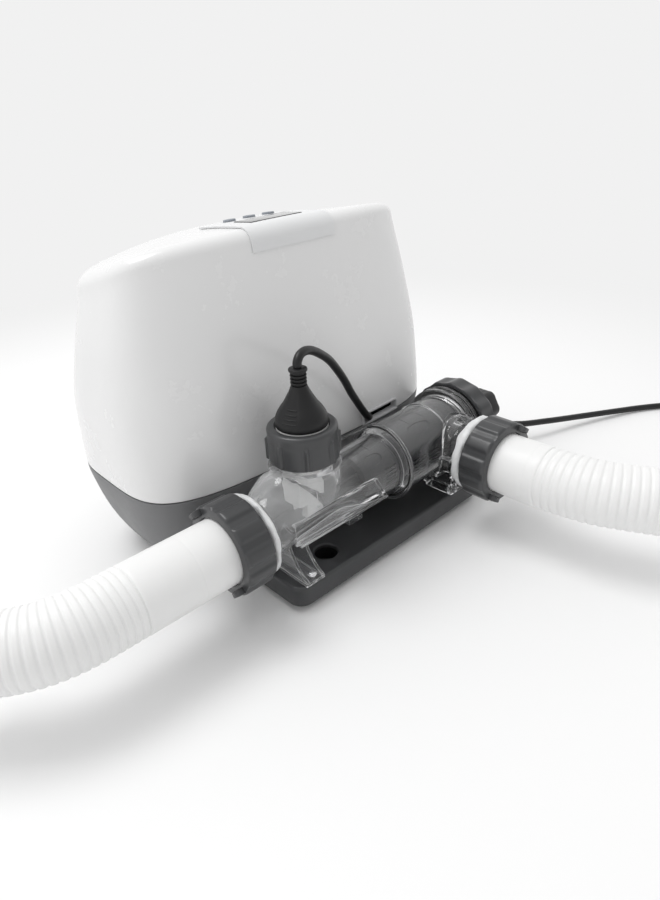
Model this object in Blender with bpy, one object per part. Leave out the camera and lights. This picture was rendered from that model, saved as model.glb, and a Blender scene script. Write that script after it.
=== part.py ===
"""Salt chlorine generator for an above-ground pool: a control housing on a base, with a clear
flow vessel on a tray in front of it, two hose ports, a flow sensor and an electrode cell.

Frame: metres, +Z up, origin on the floor under the middle of the housing. +X runs along the
vessel from the inlet to the electrode cell, -Y (the front) points from the housing to the vessel.
All lengths below are in millimetres; finish() and frame() convert them with MM.
"""
import math

import bmesh
import bpy
from mathutils import Matrix, Vector

MM = 0.001
GAP = 0.3                 # clearance between neighbouring pieces
TOOL = "tool"             # name of the helper solids that combine() uses up

RIGHT = (1, 0, 0)
LEFT = (-1, 0, 0)
FRONT = (0, -1, 0)
REAR = (0, 1, 0)
UP = (0, 0, 1)

# Vessel axes
VESSEL_Y = -127.0
CHAMBER_Z = 72.0          # axis height of the cell chamber
PORT_Z = 70.5             # axis height of the two hose ports
SENSOR_X = -59.0          # sensor port
OUTLET_X = 98.3           # outlet port
ROUND_STEPS = 24          # segments round the vessel and the parts that fit it

for scene_object in list(bpy.data.objects):
    bpy.data.objects.remove(scene_object, do_unlink=True)


# ------------------------------------------------------------------ materials
def material(name, color, roughness, metallic=0.0, alpha=1.0):
    mat = bpy.data.materials.new(name)
    mat.use_nodes = True
    inputs = mat.node_tree.nodes["Principled BSDF"].inputs
    inputs["Base Color"].default_value = (*color, 1.0)
    inputs["Roughness"].default_value = roughness
    inputs["Metallic"].default_value = metallic
    inputs["Alpha"].default_value = alpha
    mat.diffuse_color = (*color, 1.0)
    return mat


WHITE = material("white_gloss_shell", color=(0.86, 0.86, 0.87), roughness=0.28)
GREY = material("base_grey", color=(0.10, 0.10, 0.11), roughness=0.45)
CHARCOAL = material("tray_charcoal", color=(0.045, 0.045, 0.05), roughness=0.42)
COLLAR_GREY = material("collar_grey", color=(0.075, 0.078, 0.082), roughness=0.38)
BLACK = material("boot_black", color=(0.018, 0.018, 0.02), roughness=0.4)
CABLE = material("cable_black", color=(0.015, 0.015, 0.016), roughness=0.45)
CLEAR = material("vessel_clear", color=(0.9, 0.92, 0.93), roughness=0.05, alpha=0.35)
HOSE = material("hose_white", color=(0.84, 0.84, 0.85), roughness=0.45)
RUBBER = material("rubber_black", color=(0.02, 0.02, 0.02), roughness=0.7)
SILICONE = material("seal_white", color=(0.8, 0.8, 0.8), roughness=0.5)
NATURAL = material("sensor_white", color=(0.82, 0.82, 0.82), roughness=0.4)
STEEL = material("screw_steel", color=(0.7, 0.7, 0.72), roughness=0.2, metallic=1.0)
TITANIUM = material("titanium_dark", color=(0.16, 0.16, 0.17), roughness=0.4, metallic=0.9)
BRASS = material("pin_brass", color=(0.78, 0.62, 0.32), roughness=0.3, metallic=1.0)
BOARD = material("board_green", color=(0.03, 0.16, 0.07), roughness=0.5)
COPPER = material("winding_copper", color=(0.55, 0.25, 0.12), roughness=0.4, metallic=0.6)
GLASS_DARK = material("window_dark", color=(0.02, 0.025, 0.03), roughness=0.08)
LABEL = material("label_white", color=(0.80, 0.80, 0.81), roughness=0.4)
KEY = material("key_grey", color=(0.45, 0.47, 0.5), roughness=0.5)


# ------------------------------------------------------------------ mesh helpers
def shade(data, sharp=35.0):
    data.shade_smooth()
    data.set_sharp_from_angle(angle=math.radians(sharp))


def finish(name, mesh, mat, matrix=None, sharp=35.0):
    """Turns a bmesh (in mm, local to `matrix`) into a named object with outward faces."""
    bmesh.ops.scale(mesh, vec=(MM, MM, MM), verts=mesh.verts)
    bmesh.ops.recalc_face_normals(mesh, faces=mesh.faces)
    data = bpy.data.meshes.new(name)
    mesh.to_mesh(data)
    mesh.free()
    piece = bpy.data.objects.new(name, data)
    bpy.context.scene.collection.objects.link(piece)
    if matrix is not None:
        piece.matrix_world = matrix
    shade(data, sharp)
    if mat is not None:
        data.materials.append(mat)
    return piece


def frame(origin, axis, up=None):
    """World matrix (metres) whose local Z is `axis`, at `origin` given in mm."""
    z = Vector(axis).normalized()
    if up is None:
        up = (0, 0, 1) if abs(z.z) < 0.9 else (1, 0, 0)
    x = Vector(up).cross(z)
    x.normalize()
    y = z.cross(x)
    matrix = Matrix((x, y, z)).transposed().to_4x4()
    matrix.translation = Vector([value * MM for value in origin])
    return matrix


def revolved(name, mesh, matrix, mat, steps, sharp=35.0):
    """Spins the wire outline in `mesh` a full turn about the local Z axis."""
    bmesh.ops.spin(mesh, geom=mesh.verts[:] + mesh.edges[:], cent=(0, 0, 0), axis=(0, 0, 1),
                   dvec=(0, 0, 0), angle=2 * math.pi, steps=steps, use_merge=True,
                   use_duplicate=False)
    bmesh.ops.remove_doubles(mesh, verts=mesh.verts, dist=1e-4)
    return finish(name, mesh, mat, matrix, sharp)


def turned(name, profile, matrix, mat, steps, sharp=35.0):
    """A turned piece from a closed profile of (radius, height along local Z)."""
    mesh = bmesh.new()
    verts = [mesh.verts.new((radius, 0.0, height)) for radius, height in profile]
    for i in range(len(verts)):
        j = (i + 1) % len(verts)
        if profile[i][0] != 0 or profile[j][0] != 0:
            mesh.edges.new((verts[i], verts[j]))
    return revolved(name, mesh, matrix, mat, steps, sharp)


def ring_verts(mesh, rings):
    return [[mesh.verts.new(point) for point in ring] for ring in rings]


def bridge(mesh, first, second):
    """A band of quads between two closed rows of vertices."""
    for i in range(len(first)):
        j = (i + 1) % len(first)
        mesh.faces.new((first[i], first[j], second[j], second[i]))


def lofted(name, rings, mat, matrix=None, close=False):
    """A skin over rings with equal counts; the ends get caps unless `close` joins them."""
    mesh = bmesh.new()
    rows = ring_verts(mesh, rings)
    for first, second in zip(rows[:-1], rows[1:]):
        bridge(mesh, first, second)
    if close:
        bridge(mesh, rows[-1], rows[0])
    else:
        mesh.faces.new(rows[0])
        mesh.faces.new(rows[-1])
    return finish(name, mesh, mat, matrix)


def block(name, low, high, mat, bevel=0.0, segments=1, matrix=None):
    mesh = bmesh.new()
    bmesh.ops.create_cube(mesh, size=1.0)
    centre = [(low[i] + high[i]) / 2 for i in range(3)]
    size = [high[i] - low[i] for i in range(3)]
    for vert in mesh.verts:
        vert.co = Vector([centre[i] + vert.co[i] * size[i] for i in range(3)])
    if bevel > 0:
        bmesh.ops.bevel(mesh, geom=mesh.edges[:], offset=bevel, segments=segments, profile=0.5,
                        affect='EDGES', clamp_overlap=True)
    return finish(name, mesh, mat, matrix)


def prism(name, outline, z0, z1, mat, chamfer=0.0):
    """Vertical prism over a plan outline, with an optional chamfer round its top edge."""
    mesh = bmesh.new()
    face = mesh.faces.new([mesh.verts.new((x, y, z0)) for x, y in outline])
    extruded = bmesh.ops.extrude_face_region(mesh, geom=[face])
    top = [item for item in extruded["geom"] if isinstance(item, bmesh.types.BMVert)]
    bmesh.ops.translate(mesh, vec=(0, 0, z1 - z0), verts=top)
    if chamfer > 0:
        rim = [edge for edge in mesh.edges if all(abs(v.co.z - z1) < 1e-6 for v in edge.verts)]
        bmesh.ops.bevel(mesh, geom=rim, offset=chamfer, segments=1, profile=0.5,
                        affect='EDGES')
    return finish(name, mesh, mat)


def corner_arc(centre_x, centre_y, radius, start, steps):
    """Quarter circle of points, anticlockwise from `start` degrees."""
    angles = [math.radians(start + 90.0 * i / steps) for i in range(steps + 1)]
    return [(centre_x + radius * math.cos(angle), centre_y + radius * math.sin(angle))
            for angle in angles]


def rounded_rect(x0, x1, y0, y1, radius):
    return (corner_arc(x1 - radius, y1 - radius, radius, 0, 5)
            + corner_arc(x0 + radius, y1 - radius, radius, 90, 5)
            + corner_arc(x0 + radius, y0 + radius, radius, 180, 5)
            + corner_arc(x1 - radius, y0 + radius, radius, 270, 5))


def resampled(points, steps):
    """Evenly spaced points on a Catmull-Rom curve through the given points."""
    dense = []
    for i in range(len(points) - 1):
        before = points[max(i - 1, 0)]
        start, end = points[i], points[i + 1]
        after = points[min(i + 2, len(points) - 1)]
        for k in range(12):
            part = k / 12.0
            dense.append(0.5 * ((2 * start) + (-before + end) * part
                                + (2 * before - 5 * start + 4 * end - after) * part * part
                                + (-before + 3 * start - 3 * end + after) * part ** 3))
    dense.append(points[-1])
    length = [0.0]
    for start, end in zip(dense[:-1], dense[1:]):
        length.append(length[-1] + (end - start).length)
    even = []
    j = 0
    for k in range(steps + 1):
        target = length[-1] * k / steps
        while j < len(dense) - 2 and length[j + 1] < target:
            j += 1
        part = (target - length[j]) / max(length[j + 1] - length[j], 1e-9)
        even.append(dense[j].lerp(dense[j + 1], min(max(part, 0), 1)))
    return even


def circle_round(centre, across, along, radius, sides):
    """Ring of points about `centre` in the plane of two unit vectors."""
    return [centre + radius * (math.cos(2 * math.pi * i / sides) * across
                               + math.sin(2 * math.pi * i / sides) * along)
            for i in range(sides)]


def cable(name, path, radius, steps):
    """A round cable along a smooth curve through the given points."""
    centres = resampled([Vector(point) for point in path], steps)
    rings = []
    normal = None
    for k, centre in enumerate(centres):
        tangent = (centres[min(k + 1, steps)] - centres[max(k - 1, 0)]).normalized()
        if normal is None:
            normal = tangent.orthogonal().normalized()
        normal = (normal - tangent * normal.dot(tangent)).normalized()
        rings.append(circle_round(centre, normal, tangent.cross(normal), radius, 8))
    return lofted(name, rings, CABLE)


# ------------------------------------------------------------------ booleans and their tools
def combine(piece, tools, operation):
    """Boolean of a piece with helper solids, which are removed afterwards."""
    for tool in tools:
        modifier = piece.modifiers.new("cut", 'BOOLEAN')
        modifier.operation = operation
        modifier.solver = 'EXACT'
        modifier.object = tool
        bpy.context.view_layer.update()
        depsgraph = bpy.context.evaluated_depsgraph_get()
        data = bpy.data.meshes.new_from_object(piece.evaluated_get(depsgraph))
        piece.modifiers.clear()
        old = piece.data
        piece.data = data
        data.name = piece.name
        bpy.data.meshes.remove(old)
        bpy.data.objects.remove(tool, do_unlink=True)
    data = piece.data
    mesh = bmesh.new()
    mesh.from_mesh(data)
    bmesh.ops.remove_doubles(mesh, verts=mesh.verts, dist=1e-6)
    bmesh.ops.dissolve_degenerate(mesh, edges=mesh.edges, dist=1e-6)
    mesh.to_mesh(data)
    mesh.free()
    # the piece keeps only its own material slot
    while len(data.materials) > 1:
        data.materials.pop()
    data.polygons.foreach_set("material_index", [0] * len(data.polygons))
    shade(data)


def cut(piece, *tools):
    combine(piece, tools, 'DIFFERENCE')


def join(piece, *tools):
    combine(piece, tools, 'UNION')


def tool_rod(start, axis, radius, length, steps):
    profile = [(0, 0), (radius, 0), (radius, length), (0, length)]
    return turned(TOOL, profile, frame(start, axis), None, steps)


def tool_round(profile, matrix, steps=ROUND_STEPS):
    return turned(TOOL, profile, matrix, None, steps)


def tool_block(low, high, bevel=0.0, matrix=None):
    return block(TOOL, low, high, None, bevel, matrix=matrix)


def tool_loft(rings):
    return lofted(TOOL, rings, None)


# ------------------------------------------------------------------ housing surface
SEAM_Z = 86.2             # height at which the plan of the base's tongue is taken
SHELL_EDGE_Z = 86.7
BASE_TOP_Z = 85.8
ROOF_EDGE_Z = 275.2       # roof height along the front edge
ARCH = 24.6               # how much less the roof falls at mid width than at its ends
FALL = 41.0               # fall of the roof from front to rear at its ends
CROWN = 2.0
ROOF_FILLET = 13.0
FILLET_Z = ROOF_EDGE_Z - ROOF_FILLET
WALL = 2.6
PLAN_EXPONENT = 4.1       # of the rounded-rectangle plan
PLAN_POINTS = 40

# height, half size of the plan
HALF_WIDTHS = [(0, 134.5), (20, 146.5), (43, 156.0), (64, 161.0),
               (86, 164.0), (143, 162.5), (200, 155.5), (262, 142.5)]
HALF_DEPTHS = [(0, 65.0), (20, 69.0), (43, 74.5), (64, 81.0),
               (86, 86.0), (143, 82.5), (200, 73.5), (262, 64.0)]


def smooth_curve(knots, z):
    """Monotone cubic through (z, value) knots, constant beyond its ends."""
    if z <= knots[0][0]:
        return knots[0][1]
    if z >= knots[-1][0]:
        return knots[-1][1]
    chords = [(end[1] - start[1]) / (end[0] - start[0])
              for start, end in zip(knots[:-1], knots[1:])]
    slopes = [chords[0]]
    for before, after in zip(chords[:-1], chords[1:]):
        turning = before * after <= 0
        slopes.append(0.0 if turning else 2 * before * after / (before + after))
    slopes.append(chords[-1])
    i = next(k for k in range(len(chords)) if z <= knots[k + 1][0])
    span = knots[i + 1][0] - knots[i][0]
    t = (z - knots[i][0]) / span
    return ((2 * t ** 3 - 3 * t ** 2 + 1) * knots[i][1]
            + (t ** 3 - 2 * t ** 2 + t) * span * slopes[i]
            + (-2 * t ** 3 + 3 * t ** 2) * knots[i + 1][1]
            + (t ** 3 - t ** 2) * span * slopes[i + 1])


def half_width(z):
    return smooth_curve(HALF_WIDTHS, z)


def half_depth(z):
    return smooth_curve(HALF_DEPTHS, z)


def warp(x, y, z):
    """Height change that lets the roof fall to the rear and, more, to its rear corners."""
    rise = min(max((z - 120.0) / (ROOF_EDGE_Z - 120.0), 0.0), 1.0)
    rearward = min(max((y + 66.0) / 130.0, 0.0), 1.0)
    return rise * rise * (3 - 2 * rise) * rearward * (ARCH * (1 - (x / 150.0) ** 2) - FALL)


def plan(half_x, half_y):
    """Rounded-rectangle outline (a superellipse)."""
    power = 2 / PLAN_EXPONENT
    points = []
    for i in range(PLAN_POINTS):
        angle = 2 * math.pi * (i + 0.5) / PLAN_POINTS
        cosine, sine = math.cos(angle), math.sin(angle)
        points.append((half_x * math.copysign(abs(cosine) ** power, cosine),
                       half_y * math.copysign(abs(sine) ** power, sine)))
    return points


def plan_at(z, inset=0.0):
    return plan(half_width(z) - inset, half_depth(z) - inset)


def ring_at(z, inset=0.0):
    return [(x, y, z + warp(x, y, z)) for x, y in plan_at(z, inset)]


def roof_rings(inset, fillet_steps):
    """Rings that round the roof over from the wall and close towards its middle."""
    rings = []
    radius = ROOF_FILLET - inset
    half_x, half_y = half_width(FILLET_Z) - inset, half_depth(FILLET_Z) - inset
    for k in range(fillet_steps + 1):
        angle = math.pi / 2 * k / fillet_steps
        inward = radius * (1 - math.cos(angle))
        z = FILLET_Z + radius * math.sin(angle)
        rings.append([(x, y, z + warp(x, y, z + inset))
                      for x, y in plan(half_x - inward, half_y - inward)])
    for part in (0.7, 0.25):
        z = ROOF_EDGE_Z - inset + CROWN * (1 - part * part)
        rings.append([(x, y, z + warp(x, y, ROOF_EDGE_Z))
                      for x, y in plan((half_x - radius) * part, (half_y - radius) * part)])
    return rings


def wall_point(x, z, out=0.0):
    """Point of the outer front wall at a given x and world height, moved out by `out`."""
    flat_z = z
    for _ in range(10):
        across = abs(x) / half_width(flat_z)
        y = -half_depth(flat_z) * (1 - across ** PLAN_EXPONENT) ** (1 / PLAN_EXPONENT)
        flat_z = z - warp(x, y, flat_z)
    return Vector((x, y - out, z))


def roof_point(x, y):
    """Point of the roof at a given x and y, including its rounded edge."""
    half_x, half_y = half_width(FILLET_Z), half_depth(FILLET_Z)

    def reach(inset):
        """Below 1 inside the plan inset by this much, above 1 outside it."""
        return ((abs(x) / (half_x - inset)) ** PLAN_EXPONENT
                + (abs(y) / (half_y - inset)) ** PLAN_EXPONENT)

    if reach(ROOF_FILLET) <= 1.0:
        part_squared = reach(ROOF_FILLET) ** (2 / PLAN_EXPONENT)
        height = ROOF_EDGE_Z + CROWN * (1 - part_squared) + warp(x, y, ROOF_EDGE_Z)
        return Vector((x, y, height))
    low, high = 0.0, ROOF_FILLET
    for _ in range(30):
        middle = (low + high) / 2
        if reach(middle) > 1.0:
            high = middle
        else:
            low = middle
    cosine = 1 - low / ROOF_FILLET
    z = FILLET_Z + ROOF_FILLET * math.sqrt(max(0.0, 1 - cosine * cosine))
    return Vector((x, y, z + warp(x, y, z)))


def roof_frame(x, y):
    """Frame on the roof at x, y: local Z is the outward normal."""
    along_x = roof_point(x + 1, y) - roof_point(x - 1, y)
    along_y = roof_point(x, y + 1) - roof_point(x, y - 1)
    return frame(roof_point(x, y), along_x.cross(along_y).normalized(), REAR)


# ------------------------------------------------------------------ housing shell
def hollow_shell(name, outer, inner, mat):
    """Outer and inner skins, each closed at the top, joined by a rim at the bottom."""
    mesh = bmesh.new()
    skins = ring_verts(mesh, outer), ring_verts(mesh, inner)
    for rows in skins:
        for first, second in zip(rows[:-1], rows[1:]):
            bridge(mesh, first, second)
        mesh.faces.new(rows[-1])
    bridge(mesh, skins[0][0], skins[1][0])
    return finish(name, mesh, mat)


TOWERS = [(side_x * 108.0, side_y * 42.0) for side_x in (-1, 1) for side_y in (-1, 1)]
POST_TOP_Z = 100.0        # top of the base's screw posts
TOWER_Z = POST_TOP_Z + GAP

housing_shell = hollow_shell(
    "housing_shell",
    [ring_at(z) for z in (SHELL_EDGE_Z, 115, 145, 175, 205, 235)] + roof_rings(0.0, 4),
    [ring_at(z, WALL) for z in (SHELL_EDGE_Z, 145, 205)] + roof_rings(WALL, 2),
    WHITE)

# screw towers hang from the roof into the four corners
for x, y in TOWERS:
    tower_top = roof_point(x, y).z - 1.2
    join(housing_shell, tool_rod((x, y, TOWER_Z), UP, 5.0, tower_top - TOWER_Z, 12))
    cut(housing_shell, tool_rod((x, y, 99.0), UP, 2.0, 18.0, 10))

# ------------------------------------------------------------------ cable gate
GATE_X0, GATE_X1 = 47.5, 96.5
GATE_Z0, GATE_Z1 = 86.1, 98.6
GATE_CORNER = 5.0
GATE_OUT, GATE_IN = 1.6, -5.4      # front and rear face, measured outwards from the wall


def gate_outline(grow, z0, z1, corner):
    """Arch outline in x and z: square at the bottom, rounded at the top."""
    x0, x1 = GATE_X0 - grow, GATE_X1 + grow
    return ([(x0, z0), ((x0 + x1) / 2, z0), (x1, z0)]
            + corner_arc(x1 - corner, z1 - corner, corner, 0, 4)
            + corner_arc(x0 + corner, z1 - corner, corner, 90, 4))


def gate_loop(outline, out):
    return [tuple(wall_point(x, z, out)) for x, z in outline]


def gate_opening(z0):
    """Tool that cuts the gate's opening through the front wall, from z0 upwards."""
    outline = gate_outline(GAP, z0, GATE_Z1 + GAP, GATE_CORNER + GAP)
    return tool_loft([[(x, y, z) for x, z in outline] for y in (-100.0, -72.0)])


gate_outer = gate_outline(0.0, GATE_Z0, GATE_Z1, GATE_CORNER)
gate_inner = gate_outline(-2.4, GATE_Z0 + 2.2, GATE_Z1 - 2.2, 3.4)
lofted("cable_gate",
       [gate_loop(gate_outer, GATE_OUT), gate_loop(gate_inner, GATE_OUT),
        gate_loop(gate_inner, GATE_IN), gate_loop(gate_outer, GATE_IN)],
       WHITE, close=True)
cut(housing_shell, gate_opening(GATE_Z0 - 2.0))

# ------------------------------------------------------------------ tray dimensions
TRAY_X0, TRAY_X1 = -102.0, 134.0
TRAY_Y0, TRAY_Y1 = -159.8, -40.0
TRAY_Z0, TRAY_Z1 = 5.5, 23.2
TRAY_WALL = 4.0

# ------------------------------------------------------------------ housing base
TONGUE_INSET = WALL + 0.5          # outer face of the tongue that reaches up into the shell
TONGUE_TOP_Z = 91.0
BASE_WALL = WALL + 2.3

base_rings = [ring_at(z) for z in (4.0, 14, 30, 48, 66, BASE_TOP_Z)]
base_rings += [[(x, y, z) for x, y in plan_at(SEAM_Z, inset)]
               for inset, z in ((TONGUE_INSET, BASE_TOP_Z), (TONGUE_INSET, TONGUE_TOP_Z),
                                (BASE_WALL, TONGUE_TOP_Z))]
base_rings += [ring_at(z, BASE_WALL) for z in (BASE_TOP_Z, 60, 27)]
housing_base = lofted("housing_base", base_rings, GREY)

# screw posts, each with a wide bore from below and a narrow hole through its top
for x, y in TOWERS:
    join(housing_base, tool_rod((x, y, 20.0), UP, 6.6, POST_TOP_Z - 20.0, 12))
    cut(housing_base,
        tool_rod((x, y, 3.0), UP, 4.4, 88.5, 12),
        tool_rod((x, y, 90.0), UP, 2.2, 12.0, 10))
# pocket underneath for the tray, and the notch in the tongue behind the cable gate
cut(housing_base, tool_block((TRAY_X0 - GAP, TRAY_Y0, 0),
                             (TRAY_X1 + GAP, TRAY_Y1 + GAP, TRAY_Z1 + GAP)))
cut(housing_base, gate_opening(BASE_TOP_Z))

# ------------------------------------------------------------------ housing screws
HOUSING_SCREW = [(0, 0), (3.7, 0), (3.9, 0.6), (3.9, 3.0), (1.6, 3.0), (1.6, 22.0), (0, 23.5)]
for i, (x, y) in enumerate(TOWERS):
    turned(f"housing_screw_{i + 1}", HOUSING_SCREW, frame((x, y, 88.2), UP), STEEL, 10)

# ------------------------------------------------------------------ tray, feet and mat
CORNER_RADIUS = 12.0      # of the tray and the mat
# name, x, y
TRAY_FEET = [("tray_foot_left", -67.0, -147.0), ("tray_foot_right", 73.0, -147.0)]
# name, x, y, height of the vessel foot's top
VESSEL_SCREWS = [("vessel_screw_left", -82.4, -153.2, 26.5),
                 ("vessel_screw_right", 97.0, -152.0, 34.5)]

cell_tray = prism("cell_tray",
                  rounded_rect(TRAY_X0, TRAY_X1, TRAY_Y0, TRAY_Y1, CORNER_RADIUS),
                  TRAY_Z0, TRAY_Z1, CHARCOAL, chamfer=2.2)
cut(cell_tray, tool_block((TRAY_X0 + TRAY_WALL, TRAY_Y0 + TRAY_WALL, 0),
                          (TRAY_X1 - TRAY_WALL, TRAY_Y1 - TRAY_WALL, TRAY_Z1 - TRAY_WALL)))
for _, x, y in TRAY_FEET:
    join(cell_tray, tool_rod((x, y, TRAY_Z0), UP, 7.5, 15.0, 12))
for _, x, y, _ in VESSEL_SCREWS:
    join(cell_tray, tool_rod((x, y, TRAY_Z0), UP, 5.0, 15.0, 12))
    cut(cell_tray, tool_rod((x, y, 9.0), UP, 1.9, 20.0, 12))
# round hole through the tray's top
cut(cell_tray, tool_rod((-51.3, -135.9, 0.0), UP, 10.0, 40.0, 24))
for name, x, y in TRAY_FEET:
    turned(name, [(0, 0), (6.4, 0), (7.4, 1.0), (7.4, 5.2), (0, 5.2)],
           frame((x, y, 0), UP), RUBBER, 16)
prism("base_mat", rounded_rect(-100.0, 100.0, -30.0, 52.0, CORNER_RADIUS), 0.0, 3.7, RUBBER)

# ------------------------------------------------------------------ flow vessel
INLET_FRAME = frame((0, VESSEL_Y, PORT_Z), RIGHT)
CHAMBER_FRAME = frame((0, VESSEL_Y, CHAMBER_Z), RIGHT)
SENSOR_FRAME = frame((SENSOR_X, VESSEL_Y, 0), UP)
OUTLET_FRAME = frame((OUTLET_X, VESSEL_Y, PORT_Z), FRONT)
BODY_WALL = 2.8

# oval sections of the body: x, centre height, half width, half height
BODY = [
    (-113.0, PORT_Z, 24.3, 24.3), (-104.0, 72.9, 25.3, 26.3), (-96.0, 76.6, 26.2, 29.6),
    (-88.0, 79.6, 26.4, 31.6), (-76.0, 80.0, 26.2, 31.4), (-59.0, 78.6, 25.4, 29.2),
    (-44.0, 75.6, 25.0, 27.2), (-30.0, 72.8, 25.4, 26.2), (-14.0, 71.0, 26.4, 26.6),
    (8.0, 70.8, 27.4, 27.4), (27.0, 71.2, 28.2, 28.2), (30.0, 71.4, 29.0, 29.0)]

# turned parts of the vessel: frame, then (radius, distance along the frame's axis)
VESSEL_PARTS = [
    # inlet hose port
    (INLET_FRAME, [
        (0, -136.9), (29.4, -136.9), (30.0, -136.2), (30.0, -119.2), (26.0, -119.2),
        (26.0, -111.9), (28.0, -111.9), (28.0, -109.5), (22.0, -109.5), (0, -109.5)]),
    # cell chamber with its rings
    (CHAMBER_FRAME, [
        (0, 25.0), (29.0, 25.0), (33.0, 26.2), (35.4, 26.2), (35.4, 29.6), (33.0, 29.6),
        (33.0, 84.0), (34.4, 84.0), (34.4, 87.0), (33.2, 87.0), (33.6, 106.0), (37.6, 110.0),
        (39.4, 110.0), (39.4, 113.0), (37.0, 113.0), (37.0, 117.5), (39.4, 117.5),
        (39.4, 120.4), (37.2, 120.4), (37.2, 134.0), (0, 134.0)]),
    # sensor port
    (SENSOR_FRAME, [
        (0, 74.0), (24.0, 74.0), (26.6, 88.0), (27.4, 106.0), (28.6, 106.6), (28.6, 110.4),
        (23.6, 110.8), (23.6, 131.8), (0, 131.8)]),
    # outlet hose port
    (OUTLET_FRAME, [
        (0, 0), (28.6, 0), (28.6, 31.0), (25.5, 37.4), (25.5, 43.2), (26.2, 44.0),
        (26.2, 56.0), (30.0, 56.0), (30.0, 71.4), (29.4, 72.0), (0, 72.0)])]

# blocks of the vessel: low corner, high corner
VESSEL_BLOCKS = [
    # gusset ribs round the outlet neck, and one along the inlet neck
    ((OUTLET_X - 1.1, -171.0, PORT_Z - 31.0), (OUTLET_X + 1.1, -156.0, PORT_Z + 31.0)),
    ((OUTLET_X - 31.0, -171.0, PORT_Z - 1.1), (OUTLET_X, -156.0, PORT_Z + 1.1)),
    ((-111.2, VESSEL_Y - 1.15, PORT_Z - 28.9), (-98.6, VESSEL_Y + 1.15, PORT_Z + 28.9)),
    # pad of the left foot
    ((-93.5, -160.0, 23.5), (-74.9, -110.0, 26.5))]
# right foot in two blocks, and the lug under the body
VESSEL_BLOCKS_RIGHT = [
    ((85.0, -161.0, 23.5), (109.0, -131.0, 34.5)),
    ((88.0, -142.0, 24.5), (106.0, -112.0, 46.0)),
    ((-21.0, -134.0, 32.0), (-5.0, -120.0, 47.0))]

GUSSET_THICKNESS = 2.6
# outline of the left foot's gussets: y, z
GUSSET = [(-159.6, 24.0), (-159.6, 28.0), (-146.0, 41.0), (-138.0, 55.0), (-116.0, 55.0),
          (-110.4, 40.0), (-110.4, 24.0)]

# bores of the vessel, laid out like VESSEL_PARTS
VESSEL_BORES = [
    (INLET_FRAME, [(0, -140.0), (22.0, -140.0), (22.0, -108.0), (0, -108.0)]),
    (CHAMBER_FRAME, [(0, 26.0), (26.0, 26.0), (30.4, 31.0), (30.4, 108.0), (31.2, 110.0),
                     (31.2, 140.0), (0, 140.0)]),
    (SENSOR_FRAME, [(0, 76.0), (19.8, 76.0), (19.8, 140.0), (0, 140.0)]),
    (OUTLET_FRAME, [(0, 10.0), (22.5, 10.0), (22.5, 75.0), (0, 75.0)])]


def body_rings(inset=0.0):
    angles = [2 * math.pi * i / ROUND_STEPS for i in range(ROUND_STEPS)]
    return [[(x, VESSEL_Y + (half_y - inset) * math.cos(angle),
              centre_z + (half_z - inset) * math.sin(angle)) for angle in angles]
            for x, centre_z, half_y, half_z in BODY]


vessel = lofted("vessel", body_rings(), CLEAR)
for part_frame, profile in VESSEL_PARTS:
    join(vessel, tool_round(profile, part_frame))
for low, high in VESSEL_BLOCKS:
    join(vessel, tool_block(low, high))
for gusset_x in (-93.1, -77.9):
    join(vessel, tool_loft([[(x, y, z) for y, z in GUSSET]
                            for x in (gusset_x, gusset_x + GUSSET_THICKNESS)]))
for low, high in VESSEL_BLOCKS_RIGHT:
    join(vessel, tool_block(low, high))
cut(vessel, tool_loft(body_rings(BODY_WALL)))
for bore_frame, profile in VESSEL_BORES:
    cut(vessel, tool_round(profile, bore_frame))
for _, x, y, _ in VESSEL_SCREWS:
    cut(vessel, tool_rod((x, y, 20.0), UP, 2.3, 18.0, 12))
for name, x, y, z in VESSEL_SCREWS:
    turned(name, [(0, 10.5), (1.6, 12.0), (1.6, z + GAP), (4.0, z + GAP), (4.0, z + 2.2),
                  (3.0, z + 3.0), (0, z + 3.2)], frame((x, y, 0), UP), STEEL, 12)

# ------------------------------------------------------------------ collars
INLET_OUTER_X, INLET_INNER_X = -145.5, -120.7      # faces of the inlet collar
OUTLET_OUTER_Y, OUTLET_INNER_Y = -207.6, -183.3    # faces of the outlet collar
SENSOR_LOW_Z, SENSOR_TOP_Z = 114.5, 142.3          # faces of the sensor collar
CELL_INNER_X, CELL_OUTER_X = 124.3, 142.3          # faces of the cell collar
HOSE_COLLAR = dict(radius=36.5, bore=30.6, lip_bore=27.2, lip=2.9)


def collar(name, origin, axis, length, radius, bore, lip_bore, lip, lug_angle=None,
           flutes=12, flute_points=2, flute_depth=1.7):
    """Union nut: local Z points outwards, z = 0 is its inner face. Shallow flutes run along
    its rim; two lugs stand on its outer face if `lug_angle` (degrees) is given."""
    steps = flutes * flute_points
    # radius, height, whether the ring is fluted
    profile = [(bore, 0.0, False), (radius, 0.0, True), (radius, length - 1.2, True),
               (radius - 1.2, length, True), (lip_bore, length, False),
               (lip_bore, length - lip, False), (bore, length - lip, False)]
    rings = []
    for ring_radius, height, fluted in profile:
        points = []
        for i in range(steps):
            angle = 2 * math.pi * i / steps
            depth = flute_depth if fluted and i % flute_points == 0 else 0.0
            points.append(((ring_radius - depth) * math.cos(angle),
                           (ring_radius - depth) * math.sin(angle), height))
        rings.append(points)
    matrix = frame(origin, axis)
    nut = lofted(name, rings, COLLAR_GREY, matrix, close=True)
    if lug_angle is not None:
        for turn in (0, 180):
            lug_frame = matrix @ Matrix.Rotation(math.radians(lug_angle + turn), 4, 'Z')
            join(nut, tool_block((radius - 6.0, -5.5, length - 3.0),
                                 (radius - 1.9, 5.5, length + 6.5), 0.8, lug_frame))


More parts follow.
